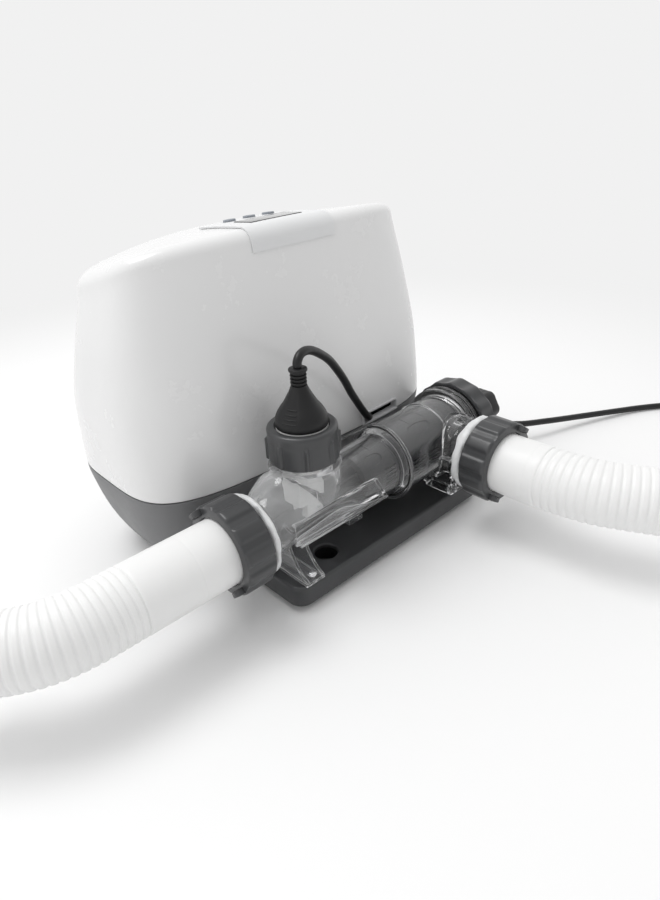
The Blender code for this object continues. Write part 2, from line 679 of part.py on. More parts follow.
collar("inlet_collar", (INLET_INNER_X, VESSEL_Y, PORT_Z), LEFT,
       INLET_INNER_X - INLET_OUTER_X, lug_angle=132.0, **HOSE_COLLAR)
collar("outlet_collar", (OUTLET_X, OUTLET_INNER_Y, PORT_Z), FRONT,
       OUTLET_INNER_Y - OUTLET_OUTER_Y, lug_angle=55.0, **HOSE_COLLAR)
collar("sensor_collar", (SENSOR_X, VESSEL_Y, SENSOR_LOW_Z), UP,
       SENSOR_TOP_Z - SENSOR_LOW_Z, radius=28.2, bore=24.2, lip_bore=20.9, lip=2.8,
       flutes=8, flute_points=3, flute_depth=1.2)
collar("cell_collar", (CELL_INNER_X, VESSEL_Y, CHAMBER_Z), RIGHT,
       CELL_OUTER_X - CELL_INNER_X, radius=42.5, bore=38.0, lip_bore=26.3, lip=3.2, flutes=14)

# ------------------------------------------------------------------ seals, gaskets, slip rings
# name, inner radius, outer radius, start and end along the frame's axis, frame, material
RINGS = [
    ("inlet_seal_ring", 26.4, 33.6, -118.9, -112.3, INLET_FRAME, SILICONE),
    ("outlet_seal_ring", 26.6, 33.6, 44.3, 55.7, OUTLET_FRAME, SILICONE),
    ("inlet_gasket", 23.0, 29.6, -139.0, -137.2, INLET_FRAME, RUBBER),
    ("outlet_gasket", 23.0, 29.6, 72.3, 74.1, OUTLET_FRAME, RUBBER),
    ("sensor_gasket", 20.0, 23.4, 132.1, 133.6, SENSOR_FRAME, RUBBER),
    ("sensor_slip_ring", 20.7, 23.7, 136.9, 138.3, SENSOR_FRAME, NATURAL),
    ("cell_slip_ring", 26.3, 37.2, 137.2, 138.8, CHAMBER_FRAME, NATURAL)]
for name, inner, outer, start, end, ring_frame, mat in RINGS:
    turned(name, [(inner, start), (outer, start), (outer, end), (inner, end)],
           ring_frame, mat, ROUND_STEPS)

# ------------------------------------------------------------------ hoses
HOSE_OUTER, HOSE_INNER = 26.3, 24.2
FLANGE_RADIUS, FLANGE_LENGTH = 30.2, 3.0
HOSE_SIDES = 18
# centre lines, starting at the flange: x, y, z
INLET_PATH = [
    (-139.3, VESSEL_Y, PORT_Z), (-214.0, VESSEL_Y, PORT_Z), (-250.0, -126.6, PORT_Z),
    (-272.0, -122.5, PORT_Z), (-291.0, -113.5, PORT_Z), (-312.0, -98.0, PORT_Z),
    (-330.0, -81.0, PORT_Z)]
OUTLET_PATH = [
    (OUTLET_X, -201.5, PORT_Z), (OUTLET_X, -222.0, PORT_Z), (99.2, -245.0, PORT_Z),
    (101.8, -268.0, PORT_Z), (106.5, -288.0, PORT_Z), (114.5, -307.0, PORT_Z),
    (124.0, -326.0, PORT_Z), (134.5, -345.0, PORT_Z)]


def hose(name, path):
    """Hose stub: a flange held by the collar, then a tube of constant bore along the path."""
    points = [Vector(point) for point in path]
    last = len(points) - 1
    tangents = [(points[min(i + 1, last)] - points[max(i - 1, 0)]).normalized()
                for i in range(last + 1)]
    start, heading = points[0], tangents[0]
    flange_end = start + heading * FLANGE_LENGTH
    tube = list(zip(points[1:], tangents[1:]))
    stations = [(start, heading, FLANGE_RADIUS), (flange_end, heading, FLANGE_RADIUS),
                (flange_end, heading, HOSE_OUTER)]
    stations += [(point, tangent, HOSE_OUTER) for point, tangent in tube]
    stations += [(point, tangent, HOSE_INNER) for point, tangent in reversed(tube)]
    stations += [(start, heading, HOSE_INNER)]
    rings = []
    for point, tangent, radius in stations:
        across = tangent.cross(Vector(UP)).normalized()
        rings.append(circle_round(point, across, across.cross(tangent), radius, HOSE_SIDES))
    lofted(name, rings, HOSE, close=True)


hose("inlet_hose", INLET_PATH)
hose("outlet_hose", OUTLET_PATH)

# ------------------------------------------------------------------ flow sensor
PADDLE_Z = 72.0           # height of the paddle's pin
PIN_HOLE_RADIUS = 1.5
CABLE_RADIUS = 3.5        # of the sensor and cell cables

sensor = turned("flow_sensor_body", [
    (0, 64.0), (10.2, 64.0), (11.0, 65.0), (11.0, 120.0), (17.0, 128.0), (17.0, 133.9),
    (23.4, 133.9), (23.4, 136.6), (20.1, 136.6), (20.1, 142.2), (4.2, 142.2), (4.2, 96.0),
    (0, 96.0)], SENSOR_FRAME, NATURAL, 24)
# slot for the paddle, and the hole for its pin
cut(sensor, tool_block((SENSOR_X - 14, VESSEL_Y - 7.4, 60.0),
                       (SENSOR_X + 14, VESSEL_Y + 7.4, 84.0)))
cut(sensor, tool_rod((SENSOR_X, VESSEL_Y - 14, PADDLE_Z), REAR, PIN_HOLE_RADIUS, 28.0, 12))
turned("paddle_pin", [(0, -10.2), (1.2, -10.2), (1.2, 10.2), (0, 10.2)],
       frame((SENSOR_X, VESSEL_Y, PADDLE_Z), REAR), STEEL, 12)

paddle = block("flow_paddle", (-1.3, -6.6, -17.0), (1.3, 7.0, 3.2), NATURAL, bevel=0.5,
               matrix=Matrix.Translation((SENSOR_X * MM, VESSEL_Y * MM, PADDLE_Z * MM)))
join(paddle, tool_rod((SENSOR_X, VESSEL_Y - 6.9, PADDLE_Z), REAR, 3.4, 13.8, 16))
cut(paddle, tool_rod((SENSOR_X, VESSEL_Y - 9.0, PADDLE_Z), REAR, PIN_HOLE_RADIUS, 18.0, 12))

# plug boot on top of the sensor, with its strain-relief neck
turned("sensor_boot", [
    (0, 142.6), (20.1, 142.6), (20.1, 146.5), (18.9, 151.0), (16.6, 155.2), (13.4, 159.5),
    (10.8, 163.8), (8.4, 168.2), (6.2, 173.4), (4.9, 174.4), (6.1, 177.0), (4.9, 178.4),
    (6.0, 181.0), (5.0, 182.8), (6.9, 184.6), (6.9, 186.4), (5.4, 187.0), (0, 187.0)],
    SENSOR_FRAME, BLACK, 18, sharp=40)
SENSOR_CABLE = [
    (SENSOR_X, VESSEL_Y, 188.4), (-58.8, -126.9, 191.2), (-54.0, -125.1, 195.0),
    (-45.0, -122.0, 194.8), (-33.0, -117.6, 189.4), (-15.0, -111.0, 176.8),
    (-2.0, -106.3, 163.6), (11.7, -101.4, 146.8), (22.4, -97.5, 131.3),
    (33.8, -95.0, 115.9), (43.0, -94.0, 104.0), (49.0, -92.6, 97.2)]
cable("sensor_cable", SENSOR_CABLE, CABLE_RADIUS, 30)

# ------------------------------------------------------------------ electrode cell
TERMINAL_YS = (VESSEL_Y - 9.0, VESSEL_Y + 9.0)
TERMINAL_HOLE_RADIUS = 3.3
PLATE_COUNT = 5
PLATE_PITCH = 6.2
PLATE_X0, PLATE_X1 = 38.0, 111.2
PLATE_OFFSETS = [(k - (PLATE_COUNT - 1) / 2) * PLATE_PITCH for k in range(PLATE_COUNT)]

cartridge = turned("cell_cartridge", [
    (0, 112.0), (28.6, 112.0), (29.6, 113.0), (29.6, 125.6), (27.6, 125.6), (27.6, 129.4),
    (29.6, 129.4), (29.6, 134.4), (37.0, 134.4), (37.0, 136.9), (25.6, 136.9), (25.6, 143.5),
    (0, 143.5)], CHAMBER_FRAME, BLACK, ROUND_STEPS)
for y in TERMINAL_YS:
    cut(cartridge, tool_rod((100, y, CHAMBER_Z), RIGHT, TERMINAL_HOLE_RADIUS, 60.0, 16))

o_ring = bmesh.new()
bmesh.ops.create_circle(
    o_ring, segments=6, radius=1.25,
    matrix=Matrix.Translation((29.2, 0, 0)) @ Matrix.Rotation(math.pi / 2, 4, 'X'))
revolved("cell_o_ring", o_ring, frame((127.5, VESSEL_Y, CHAMBER_Z), RIGHT), RUBBER,
         ROUND_STEPS)

for name, y in zip(("terminal_post_minus", "terminal_post_plus"), TERMINAL_YS):
    turned(name, [(0, 111.6), (2.9, 111.6), (2.9, 155.4), (2.2, 156.4), (0, 156.4)],
           frame((0, y, CHAMBER_Z), RIGHT), TITANIUM, 16)

# the outer plates are narrower where the round bore limits them
for k, offset in enumerate(PLATE_OFFSETS):
    half = min(22.0, math.sqrt(28.6 ** 2 - (abs(offset) + 1) ** 2) - 1.0)
    block(f"electrode_plate_{k + 1}",
          (PLATE_X0, VESSEL_Y - half, CHAMBER_Z + offset - 0.6),
          (PLATE_X1, VESSEL_Y + half, CHAMBER_Z + offset + 0.6), TITANIUM)


def comb_box(x0, x1, half_y, z, half_z):
    """Corners of a box centred on the vessel axis in y and on z in height."""
    return (x0, VESSEL_Y - half_y, z - half_z), (x1, VESSEL_Y + half_y, z + half_z)


for name, x in (("plate_comb_inner", 44.0), ("plate_comb_outer", 96.0)):
    comb = block(name, *comb_box(x, x + 5.0, 25.4, CHAMBER_Z, 15.0), BLACK)
    cut(comb, tool_block(*comb_box(x - 1, x + 6, 17.0, CHAMBER_Z, 11.8)))
    for offset in PLATE_OFFSETS:
        cut(comb, tool_block(*comb_box(x - 1, x + 6, 22.5, CHAMBER_Z + offset, 0.9)))

# boot over the terminals, with its cable neck pointing to the rear
NECK_X = 168.0
cell_boot = turned("cell_boot", [
    (0, 143.9), (24.6, 143.9), (25.0, 145.0), (25.0, 148.6), (21.5, 151.0), (19.6, 158.0),
    (18.2, 168.0), (17.2, 175.0), (15.6, 178.6), (0, 178.6)],
    CHAMBER_FRAME, BLACK, 20, sharp=40)
join(cell_boot, tool_round([(0, 4.0), (8.6, 4.0), (8.0, 22.0), (6.8, 27.0), (0, 27.0)],
                           frame((NECK_X, VESSEL_Y, CHAMBER_Z), REAR), 14))
for y in TERMINAL_YS:
    cut(cell_boot, tool_rod((140, y, CHAMBER_Z), RIGHT, TERMINAL_HOLE_RADIUS, 17.0, 16))
CELL_CABLE = [
    (NECK_X, VESSEL_Y + 27.7, CHAMBER_Z), (NECK_X, VESSEL_Y + 36.0, CHAMBER_Z - 0.3),
    (171.0, -78.0, 66.0), (175.0, -62.0, 57.0), (175.0, -51.0, 52.0), (170.0, -46.5, 50.4),
    (163.5, -46.0, 50.0)]
cable("cell_cable", CELL_CABLE, CABLE_RADIUS, 10)

# ------------------------------------------------------------------ cord glands
GLAND_BORE = 4.1
GLAND_RADIUS = 7.0
GLAND = [(GLAND_BORE, 146.0), (GLAND_RADIUS, 146.0), (GLAND_RADIUS, 160.5), (6.2, 162.5),
         (GLAND_BORE, 162.5)]
for name, y, z in (("cell_cable_gland", -46.0, 50.0), ("power_cord_gland", -14.0, 34.0)):
    cut(housing_base, tool_rod((135.0, y, z), RIGHT, GLAND_RADIUS + 0.5, 40.0, 12))
    turned(name, GLAND, frame((0, y, z), RIGHT), RUBBER, 12)

# ------------------------------------------------------------------ power cord and plug
PLUG_X, PLUG_Z = 480.0, 14.0
POWER_CORD = [
    (150.0, -14.0, 34.0), (158.0, -14.0, 34.0), (167.0, -14.6, 34.0), (181.0, -25.0, 33.0),
    (200.0, -50.0, 30.0), (228.0, -92.0, 25.5), (254.0, -122.0, 21.0), (290.0, -139.0, 16.6),
    (337.0, -156.0, 10.6), (391.0, -179.0, 5.6), (418.0, -193.0, 4.0), (443.0, -212.0, 3.8),
    (464.0, -238.0, 4.0), (475.0, -260.0, 7.0), (479.6, -279.0, 13.2),
    (PLUG_X, -296.4, PLUG_Z)]
cable("power_cord", POWER_CORD, 3.4, 30)
plug = block("power_plug", (PLUG_X - 16.0, -351.0, PLUG_Z - 13.0),
             (PLUG_X + 16.0, -309.0, PLUG_Z + 13.0), BLACK, bevel=6.0, segments=2)
join(plug, tool_round([(0, 0), (5.0, 0), (5.6, 10.0), (8.5, 14.0), (0, 14.0)],
                      frame((PLUG_X, -297.4, PLUG_Z), FRONT), 12))
for name, x in (("plug_pin_left", PLUG_X - 9.5), ("plug_pin_right", PLUG_X + 9.5)):
    cut(plug, tool_rod((x, -341.0, PLUG_Z), FRONT, 2.6, 20.0, 12))
    turned(name, [(0, 341.4), (2.3, 341.4), (2.3, 368.5), (1.3, 369.5), (0, 369.5)],
           frame((x, 0, PLUG_Z), FRONT), BRASS, 10)

# ------------------------------------------------------------------ control panel
PANEL_HALF_WIDTH = 42.0
PANEL_LIFT = 0.3          # between the housing surface and the panel
PANEL_THICKNESS = 1.2
PANEL_WALL_ZS = (257.0, 260.0)                     # rows on the front wall
PANEL_EDGE_STEPS = (0.5, 2.4, 5.6, 9.4, 13.5)      # rows behind the wall, over the rounded edge
PANEL_ROOF_YS = (-38.0, -18.0, 4.0)                # rows on the roof


def skin_plate(name, grid, lift, thickness, mat):
    """A thin plate offset from a grid of points on the housing's front and roof."""
    row_count, column_count = len(grid), len(grid[0])
    mesh = bmesh.new()
    low, top = [], []
    for j in range(row_count):
        low_row, top_row = [], []
        for i in range(column_count):
            along_row = grid[j][min(i + 1, column_count - 1)] - grid[j][max(i - 1, 0)]
            across_rows = grid[min(j + 1, row_count - 1)][i] - grid[max(j - 1, 0)][i]
            normal = along_row.cross(across_rows).normalized()
            if normal.z - normal.y < 0:
                normal = -normal
            low_row.append(mesh.verts.new(grid[j][i] + normal * lift))
            top_row.append(mesh.verts.new(grid[j][i] + normal * (lift + thickness)))
        low.append(low_row)
        top.append(top_row)
    for rows in (low, top):
        for j in range(row_count - 1):
            for i in range(column_count - 1):
                mesh.faces.new((rows[j][i], rows[j][i + 1], rows[j + 1][i + 1],
                                rows[j + 1][i]))
    edge = [(0, i) for i in range(column_count)]
    edge += [(j, column_count - 1) for j in range(1, row_count)]
    edge += [(row_count - 1, i) for i in range(column_count - 2, -1, -1)]
    edge += [(j, 0) for j in range(row_count - 2, 0, -1)]
    bridge(mesh, [low[j][i] for j, i in edge], [top[j][i] for j, i in edge])
    return finish(name, mesh, mat)


panel_xs = [PANEL_HALF_WIDTH * i / 4.0 for i in range(-4, 5)]
panel_ys = [-half_depth(FILLET_Z) + step for step in PANEL_EDGE_STEPS]
panel_ys += PANEL_ROOF_YS
panel_grid = [[wall_point(x, z) for x in panel_xs] for z in PANEL_WALL_ZS]
panel_grid += [[roof_point(x, y) for x in panel_xs] for y in panel_ys]
panel = skin_plate("control_panel", panel_grid, PANEL_LIFT, PANEL_THICKNESS, LABEL)

# ------------------------------------------------------------------ keys
KEY_PITCH = 20.0
KEY_Y = -8.0
KEY_RADIUS = 5.2
KEY_PROFILE = [
    (0, -7.0), (2.2, -7.0), (2.2, -4.9), (6.6, -4.9), (6.6, -3.4), (KEY_RADIUS, -3.4),
    (KEY_RADIUS, 2.6), (KEY_RADIUS - 0.6, 3.2), (0, 3.2)]
KEY_HOLE = [(0, -12.0), (KEY_RADIUS + GAP, -12.0), (KEY_RADIUS + GAP, 12.0), (0, 12.0)]
for i, name in enumerate(("key_power", "key_boost", "key_timer")):
    key_frame = roof_frame((i - 1) * KEY_PITCH, KEY_Y)
    for target in (panel, housing_shell):
        cut(target, tool_round(KEY_HOLE, key_frame, 16))
    turned(name, KEY_PROFILE, key_frame, KEY, 14)

# ------------------------------------------------------------------ display
# the window is set through the panel in front of the keys
WINDOW_HALF_X, WINDOW_HALF_Y = 26.0, 11.5
window_frame = roof_frame(0.0, -33.5)
for target in (panel, housing_shell):
    cut(target, tool_block((-WINDOW_HALF_X - GAP, -WINDOW_HALF_Y - GAP, -9.0),
                           (WINDOW_HALF_X + GAP, WINDOW_HALF_Y + GAP, 9.0),
                           matrix=window_frame))
block("display_window", (-WINDOW_HALF_X, -WINDOW_HALF_Y, -3.0),
      (WINDOW_HALF_X, WINDOW_HALF_Y, 1.9), GLASS_DARK, bevel=0.5, matrix=window_frame)
block("display_board", (-38.0, -34.0, -10.4), (38.0, 18.0, -8.8), BOARD,
      matrix=roof_frame(0.0, -18.0))

# ------------------------------------------------------------------ inside the housing
BOARD_X0, BOARD_X1 = -70.0, 20.0
BOARD_Y0, BOARD_Y1 = -20.0, 50.0
BOARD_Z = 40.0            # underside of the power board
POST_INSET = 6.0          # of the posts under its corners
POST_FOOT_Z = 25.0
block("power_board", (BOARD_X0, BOARD_Y0, BOARD_Z), (BOARD_X1, BOARD_Y1, BOARD_Z + 1.6), BOARD)
for y in (BOARD_Y0 + POST_INSET, BOARD_Y1 - POST_INSET):
    for x in (BOARD_X0 + POST_INSET, BOARD_X1 - POST_INSET):
        join(housing_base, tool_rod((x, y, POST_FOOT_Z), UP, 3.2,
                                    BOARD_Z - GAP - POST_FOOT_Z, 10))
turned("transformer", [(13.0, 0), (32.0, 0), (35.0, 4.0), (35.0, 28.0), (32.0, 32.0),
                       (13.0, 32.0)], frame((74.0, 18.0, 27.6), UP), COPPER, 20)
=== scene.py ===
"""Salt cell with its control housing: a white shell on a grey base, and in front of it a tray
that carries a clear vessel with an inlet, an outlet, a flow sensor and an electrode cell.

Shapes are drawn in millimetres and scaled to metres when a mesh is made. The floor is z = 0.
The front is -y. The inlet leaves to the left (-x), the outlet to the front, the cell to the
right (+x).
"""
import bpy
import bmesh
import math
from mathutils import Matrix, Vector


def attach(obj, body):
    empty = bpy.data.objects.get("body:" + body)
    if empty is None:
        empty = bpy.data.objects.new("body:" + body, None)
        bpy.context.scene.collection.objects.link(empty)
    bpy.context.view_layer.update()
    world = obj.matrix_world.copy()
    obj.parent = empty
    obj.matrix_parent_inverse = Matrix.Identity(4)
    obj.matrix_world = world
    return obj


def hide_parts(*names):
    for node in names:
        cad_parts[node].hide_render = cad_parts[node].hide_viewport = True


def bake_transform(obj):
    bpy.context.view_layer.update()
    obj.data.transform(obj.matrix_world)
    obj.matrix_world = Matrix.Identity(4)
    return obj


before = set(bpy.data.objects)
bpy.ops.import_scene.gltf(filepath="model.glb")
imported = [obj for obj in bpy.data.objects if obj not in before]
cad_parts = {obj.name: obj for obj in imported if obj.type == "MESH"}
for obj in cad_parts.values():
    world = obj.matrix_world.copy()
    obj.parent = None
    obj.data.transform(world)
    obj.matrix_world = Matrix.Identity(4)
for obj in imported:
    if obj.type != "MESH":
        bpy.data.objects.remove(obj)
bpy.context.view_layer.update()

# ================================================================== main sizes, mm
GAP = 0.3                   # clearance round a part in its opening

# housing
BASE_TOP_Z = 85.8
SEAM_Z = 86.2
SHELL_EDGE_Z = 86.7
ROOF_Z = 275.2              # roof edge before the warp
ROOF_FILLET = 13.0
EAVE_Z = ROOF_Z - ROOF_FILLET
ARCH = 24.6                 # rise of the middle of the roof over its ends, at the back
FALL = 41.0                 # drop of the roof from front to back
CROWN = 2.0                 # doming of the roof
WALL = 2.6
EXPONENT = 4.1              # superellipse exponent of the plan
PLAN_POINTS = 176
# height, half length along x, half depth along y
HOUSING = [(0, 134.5, 65.0), (20, 146.5, 69.0), (43, 156.0, 74.5), (64, 161.0, 81.0),
           (86, 164.0, 86.0), (143, 162.5, 82.5), (200, 155.5, 73.5), (262, 142.5, 64.0)]
TOWERS = [(side_x * 108.0, side_y * 42.0) for side_x in (-1, 1) for side_y in (-1, 1)]
# name, y, z of the cable openings in the right wall
CABLE_ENTRIES = [("cell_cable_gland", -46.0, 50.0), ("power_cord_gland", -14.0, 34.0)]

# controls on the roof
KEYS = [("key_power", -20.0), ("key_boost", 0.0), ("key_timer", 20.0)]     # name, x
KEY_Y = -8.0
KEY_RADIUS = 5.2
WINDOW_Y = -33.5
WINDOW_HALF_X = 26.0
WINDOW_HALF_Y = 11.5

# cable gate at the seam in the front wall
GATE_X0, GATE_X1 = 47.5, 96.5
GATE_Z0, GATE_Z1 = 86.1, 98.6
GATE_RADIUS = 5.0

# tray
TRAY_X0, TRAY_X1 = -102.0, 134.0
TRAY_Y0, TRAY_Y1 = -159.8, -40.0
TRAY_Z0, TRAY_Z1 = 5.5, 23.2
WELL = (-51.3, -135.9)
FEET = [("tray_foot_left", -67.0, -147.0), ("tray_foot_right", 73.0, -147.0)]
# name, x, y, height of the vessel foot under the head
VESSEL_SCREWS = [("vessel_screw_left", -82.4, -153.2, 26.5),
                 ("vessel_screw_right", 97.0, -152.0, 34.5)]

# vessel axes
VESSEL_Y = -127.0
CHAMBER_Z = 72.0            # electrode chamber
PORT_Z = 70.5               # inlet and outlet
SENSOR_X = -59.0
OUTLET_X = 98.3

UP, RIGHT, FRONT, BACK, LEFT = (0, 0, 1), (1, 0, 0), (0, -1, 0), (0, 1, 0), (-1, 0, 0)
MILLIMETRES = Matrix.Scale(0.001, 4)


# ================================================================== shader helpers
def fill(tree, node, inputs):
    """Sets node inputs from a dict; a socket is linked, anything else is a value."""
    for key, value in inputs.items():
        if isinstance(value, bpy.types.NodeSocket):
            tree.links.new(value, node.inputs[key])
        else:
            node.inputs[key].default_value = value


def add(tree, kind, inputs={}, **settings):
    node = tree.nodes.new("ShaderNode" + kind)
    for key, value in settings.items():
        setattr(node, key, value)
    fill(tree, node, inputs)
    return node


def new_material(name):
    material = bpy.data.materials.new(name)
    material.use_nodes = True
    tree = material.node_tree
    return material, tree, tree.nodes["Principled BSDF"]


def noise(tree, scale, detail, rough=0.5, stretch=None):
    place = add(tree, "TexCoord").outputs["Object"]
    if stretch:
        place = add(tree, "Mapping", {"Scale": stretch, "Vector": place}).outputs["Vector"]
    inputs = {"Scale": scale, "Detail": detail, "Roughness": rough, "Vector": place}
    return add(tree, "TexNoise", inputs).outputs["Fac"]


def remap(tree, value, to, over=(0.3, 0.7), curve='LINEAR'):
    """Maps the range `over` of a value to the range `to`."""
    inputs = {"From Min": over[0], "From Max": over[1], "To Min": to[0], "To Max": to[1],
              "Value": value}
    return add(tree, "MapRange", inputs, interpolation_type=curve).outputs["Result"]


def math_node(tree, operation, *values, clamp=False):
    node = add(tree, "Math", dict(enumerate(values)), operation=operation, use_clamp=clamp)
    return node.outputs[0]


def mix_color(tree, factor, first, second):
    return add(tree, "Mix", {0: factor, 6: first, 7: second}, data_type='RGBA').outputs[2]


def mix_shader(tree, factor, first, second):
    return add(tree, "MixShader", {0: factor, 1: first, 2: second}).outputs[0]


def bump(tree, height, strength, depth):
    inputs = {"Strength": strength, "Distance": depth, "Height": height}
    return add(tree, "Bump", inputs).outputs["Normal"]


# ================================================================== materials
def plastic(name, color, rough, rough_spread, grain, color_spread, patches,
            coat=0.0, worn=0.0, specular=0.5, subsurface=0.0):
    """Moulded plastic or rubber: patchy colour and roughness, fine grain, edges lightened partly as
    wear and partly as a painted highlight.
    """
    material, tree, shader = new_material(name)
    dark = [max(0.0, c * (1 - color_spread)) for c in color] + [1.0]
    light = [min(1.0, c * (1 + color_spread)) for c in color] + [1.0]
    drift = noise(tree, scale=patches, detail=4.0, rough=0.6)
    skin = mix_color(tree, remap(tree, drift, to=(0.0, 1.0)), dark, light)
    # convex edges lightened by pointiness: partly wear, partly a painted highlight
    if worn > 0.0:
        edge_glint = add(tree, "NewGeometry").outputs["Pointiness"]
        edge_glint = remap(tree, edge_glint, to=(0.0, worn), over=(0.52, 0.60))
        breakup = remap(tree, noise(tree, scale=160.0, detail=3.0), to=(0.2, 1.0))
        worn_glint_color = [min(1.0, c * 1.9 + 0.03) for c in color] + [1.0]
        skin = mix_color(tree, math_node(tree, 'MULTIPLY', edge_glint, breakup), skin, worn_glint_color)
    gloss = noise(tree, scale=patches * 4.0, detail=5.0, rough=0.65)
    gloss_range = (max(rough - rough_spread, 0.02), min(rough + rough_spread, 1.0))
    grain_scale, grain_strength, grain_depth = grain
    height = noise(tree, scale=grain_scale, detail=3.0, rough=0.6)
    fill(tree, shader, {
        "Base Color": skin,
        "Roughness": remap(tree, gloss, to=gloss_range),
        "Specular IOR Level": specular,
        "Coat Weight": coat,
        "Coat Roughness": 0.12,
        "Normal": bump(tree, height, strength=grain_strength, depth=grain_depth)})
    if subsurface > 0.0:
        fill(tree, shader, {"Subsurface Weight": subsurface,
                            "Subsurface Radius": (0.004, 0.004, 0.004),
                            "Subsurface Scale": 1.0})
    return material


def metal(name, color, rough, stretch, brushed, scale):
    """Metal with brushing that drives both roughness and bump."""
    material, tree, shader = new_material(name)
    brushing = noise(tree, scale=scale, detail=3.0, rough=0.6, stretch=stretch)
    gloss_range = (max(0.03, rough - brushed * 0.3), rough + brushed * 0.5)
    fill(tree, shader, {
        "Base Color": color + (1.0,),
        "Metallic": 1.0,
        "Roughness": remap(tree, brushing, to=gloss_range),
        "Normal": bump(tree, brushing, strength=brushed, depth=0.00002)})
    return material


def clear_plastic(name, tint, rough, haze, milky_and_glare, wave_depth):
    """Clear moulded plastic, milkier towards the inlet, where the white is partly haze and partly a
    painted reflection, with white painted on corners as a highlight; shadow rays pass to what it
    holds.
    """
    material, tree, shader = new_material(name)
    fill(tree, shader, {"Base Color": tint + (1.0,), "Roughness": rough,
                        "Transmission Weight": 1.0, "IOR": 1.52})
    gloss = noise(tree, scale=90.0, detail=4.0, rough=0.6)
    waves = noise(tree, scale=45.0, detail=3.0, rough=0.5, stretch=(0.6, 1.0, 1.0))
    fill(tree, shader, {"Roughness": remap(tree, gloss, to=(rough * 0.5, rough * 2.0)),
                        "Normal": bump(tree, waves, strength=0.5, depth=wave_depth)})

    haze_glare_color = {"Color": (0.97, 0.975, 0.98, 1.0)}
    haze_glare = mix_shader(tree, 0.5, add(tree, "BsdfDiffuse", haze_glare_color).outputs[0],
                       add(tree, "BsdfTranslucent", haze_glare_color).outputs[0])

    # milkiness grows to the left and steps up above the ledge (object space, metres); this white is
    # partly haze and partly a painted reflection
    place = add(tree, "SeparateXYZ", {0: add(tree, "TexCoord").outputs["Object"]})
    along = remap(tree, place.outputs["X"], to=(0.0, milky_and_glare), over=(-0.016, -0.058),
                  curve='SMOOTHSTEP')
    above = remap(tree, place.outputs["Z"], to=(0.12, 1.0), over=(0.0785, 0.0815),
                  curve='SMOOTHSTEP')
    streaks = noise(tree, scale=55.0, detail=4.0, rough=0.65, stretch=(0.35, 1.0, 1.0))
    haze_and_glint = math_node(tree, 'MULTIPLY_ADD', math_node(tree, 'MULTIPLY', along, above),
                       remap(tree, streaks, to=(0.55, 1.35)), haze)

    # painted highlight: white haze laid on corners, where the bevelled normal leaves the true one
    rounded = add(tree, "Bevel", {"Radius": 0.0009}, samples=4).outputs[0]
    normal = add(tree, "NewGeometry").outputs["Normal"]
    agree = add(tree, "VectorMath", {0: rounded, 1: normal}, operation='DOT_PRODUCT')
    edge_glint = remap(tree, agree.outputs["Value"], to=(0.0, 0.55), over=(0.995, 0.88))
    haze_and_glint = math_node(tree, 'ADD', haze_and_glint, edge_glint, clamp=True)

    body = mix_shader(tree, haze_and_glint, shader.outputs["BSDF"], haze_glare)
    shadow_tint = tuple(0.80 + 0.20 * c for c in tint) + (1.0,)
    through = add(tree, "BsdfTransparent", {"Color": shadow_tint}).outputs["BSDF"]
    is_shadow = add(tree, "LightPath").outputs["Is Shadow Ray"]
    surface = mix_shader(tree, is_shadow, body, through)
    tree.links.new(surface, tree.nodes["Material Output"].inputs["Surface"])
    return material


# finish, colour, roughness, its spread, grain (scale, strength, depth in m),
# colour spread, patch scale, extras
PLASTICS = [
    ("shell_white", (0.80, 0.80, 0.80), 0.27, 0.008, (1900.0, 0.2, 0.000006), 0.003, 6.0,
     dict(coat=0.3)),
    ("base_grey", (0.165, 0.166, 0.170), 0.46, 0.06, (1700.0, 0.6, 0.00004), 0.04, 12.0,
     dict(worn=0.12)),
    ("gate_grey", (0.60, 0.60, 0.61), 0.40, 0.05, (1200.0, 0.4, 0.00003), 0.03, 14.0,
     dict(worn=0.1)),
    ("tray_charcoal", (0.038, 0.039, 0.041), 0.36, 0.08, (1500.0, 0.8, 0.00005), 0.08, 18.0,
     dict(worn=0.22)),
    ("collar_grey", (0.046, 0.047, 0.049), 0.32, 0.025, (1300.0, 0.5, 0.00004), 0.04, 30.0,
     dict(worn=0.25)),
    ("moulded_black", (0.012, 0.012, 0.0125), 0.40, 0.07, (1500.0, 0.6, 0.00004), 0.10, 40.0,
     dict(worn=0.10, specular=0.32)),
    ("pack_dark", (0.022, 0.0225, 0.024), 0.34, 0.08, (900.0, 0.5, 0.00004), 0.10, 35.0,
     dict(worn=0.30)),
    ("cable_black", (0.012, 0.012, 0.0125), 0.40, 0.08, (900.0, 0.5, 0.00005), 0.12, 50.0,
     dict(specular=0.35)),
    ("rubber_black", (0.014, 0.014, 0.014), 0.62, 0.06, (1600.0, 1.0, 0.00006), 0.15, 60.0, {}),
    ("hose_white", (0.84, 0.84, 0.835), 0.42, 0.05, (700.0, 0.3, 0.00004), 0.015, 22.0,
     dict(subsurface=0.12)),
    ("seal_white", (0.74, 0.745, 0.75), 0.36, 0.08, (330.0, 1.0, 0.00035), 0.10, 120.0,
     dict(subsurface=0.15)),
    ("natural_white", (0.84, 0.84, 0.83), 0.36, 0.05, (900.0, 0.3, 0.00003), 0.02, 30.0, {}),
    ("panel_film", (0.74, 0.745, 0.75), 0.50, 0.03, (2200.0, 0.5, 0.00002), 0.012, 20.0, {}),
    ("key_grey", (0.26, 0.28, 0.31), 0.55, 0.05, (1800.0, 0.8, 0.00003), 0.04, 90.0,
     dict(worn=0.15)),
    ("window_dark", (0.010, 0.011, 0.013), 0.08, 0.02, (300.0, 0.04, 0.00001), 0.05, 14.0,
     dict(coat=0.6)),
    ("board_green", (0.02, 0.13, 0.055), 0.38, 0.08, (900.0, 1.0, 0.00005), 0.18, 140.0, {}),
]
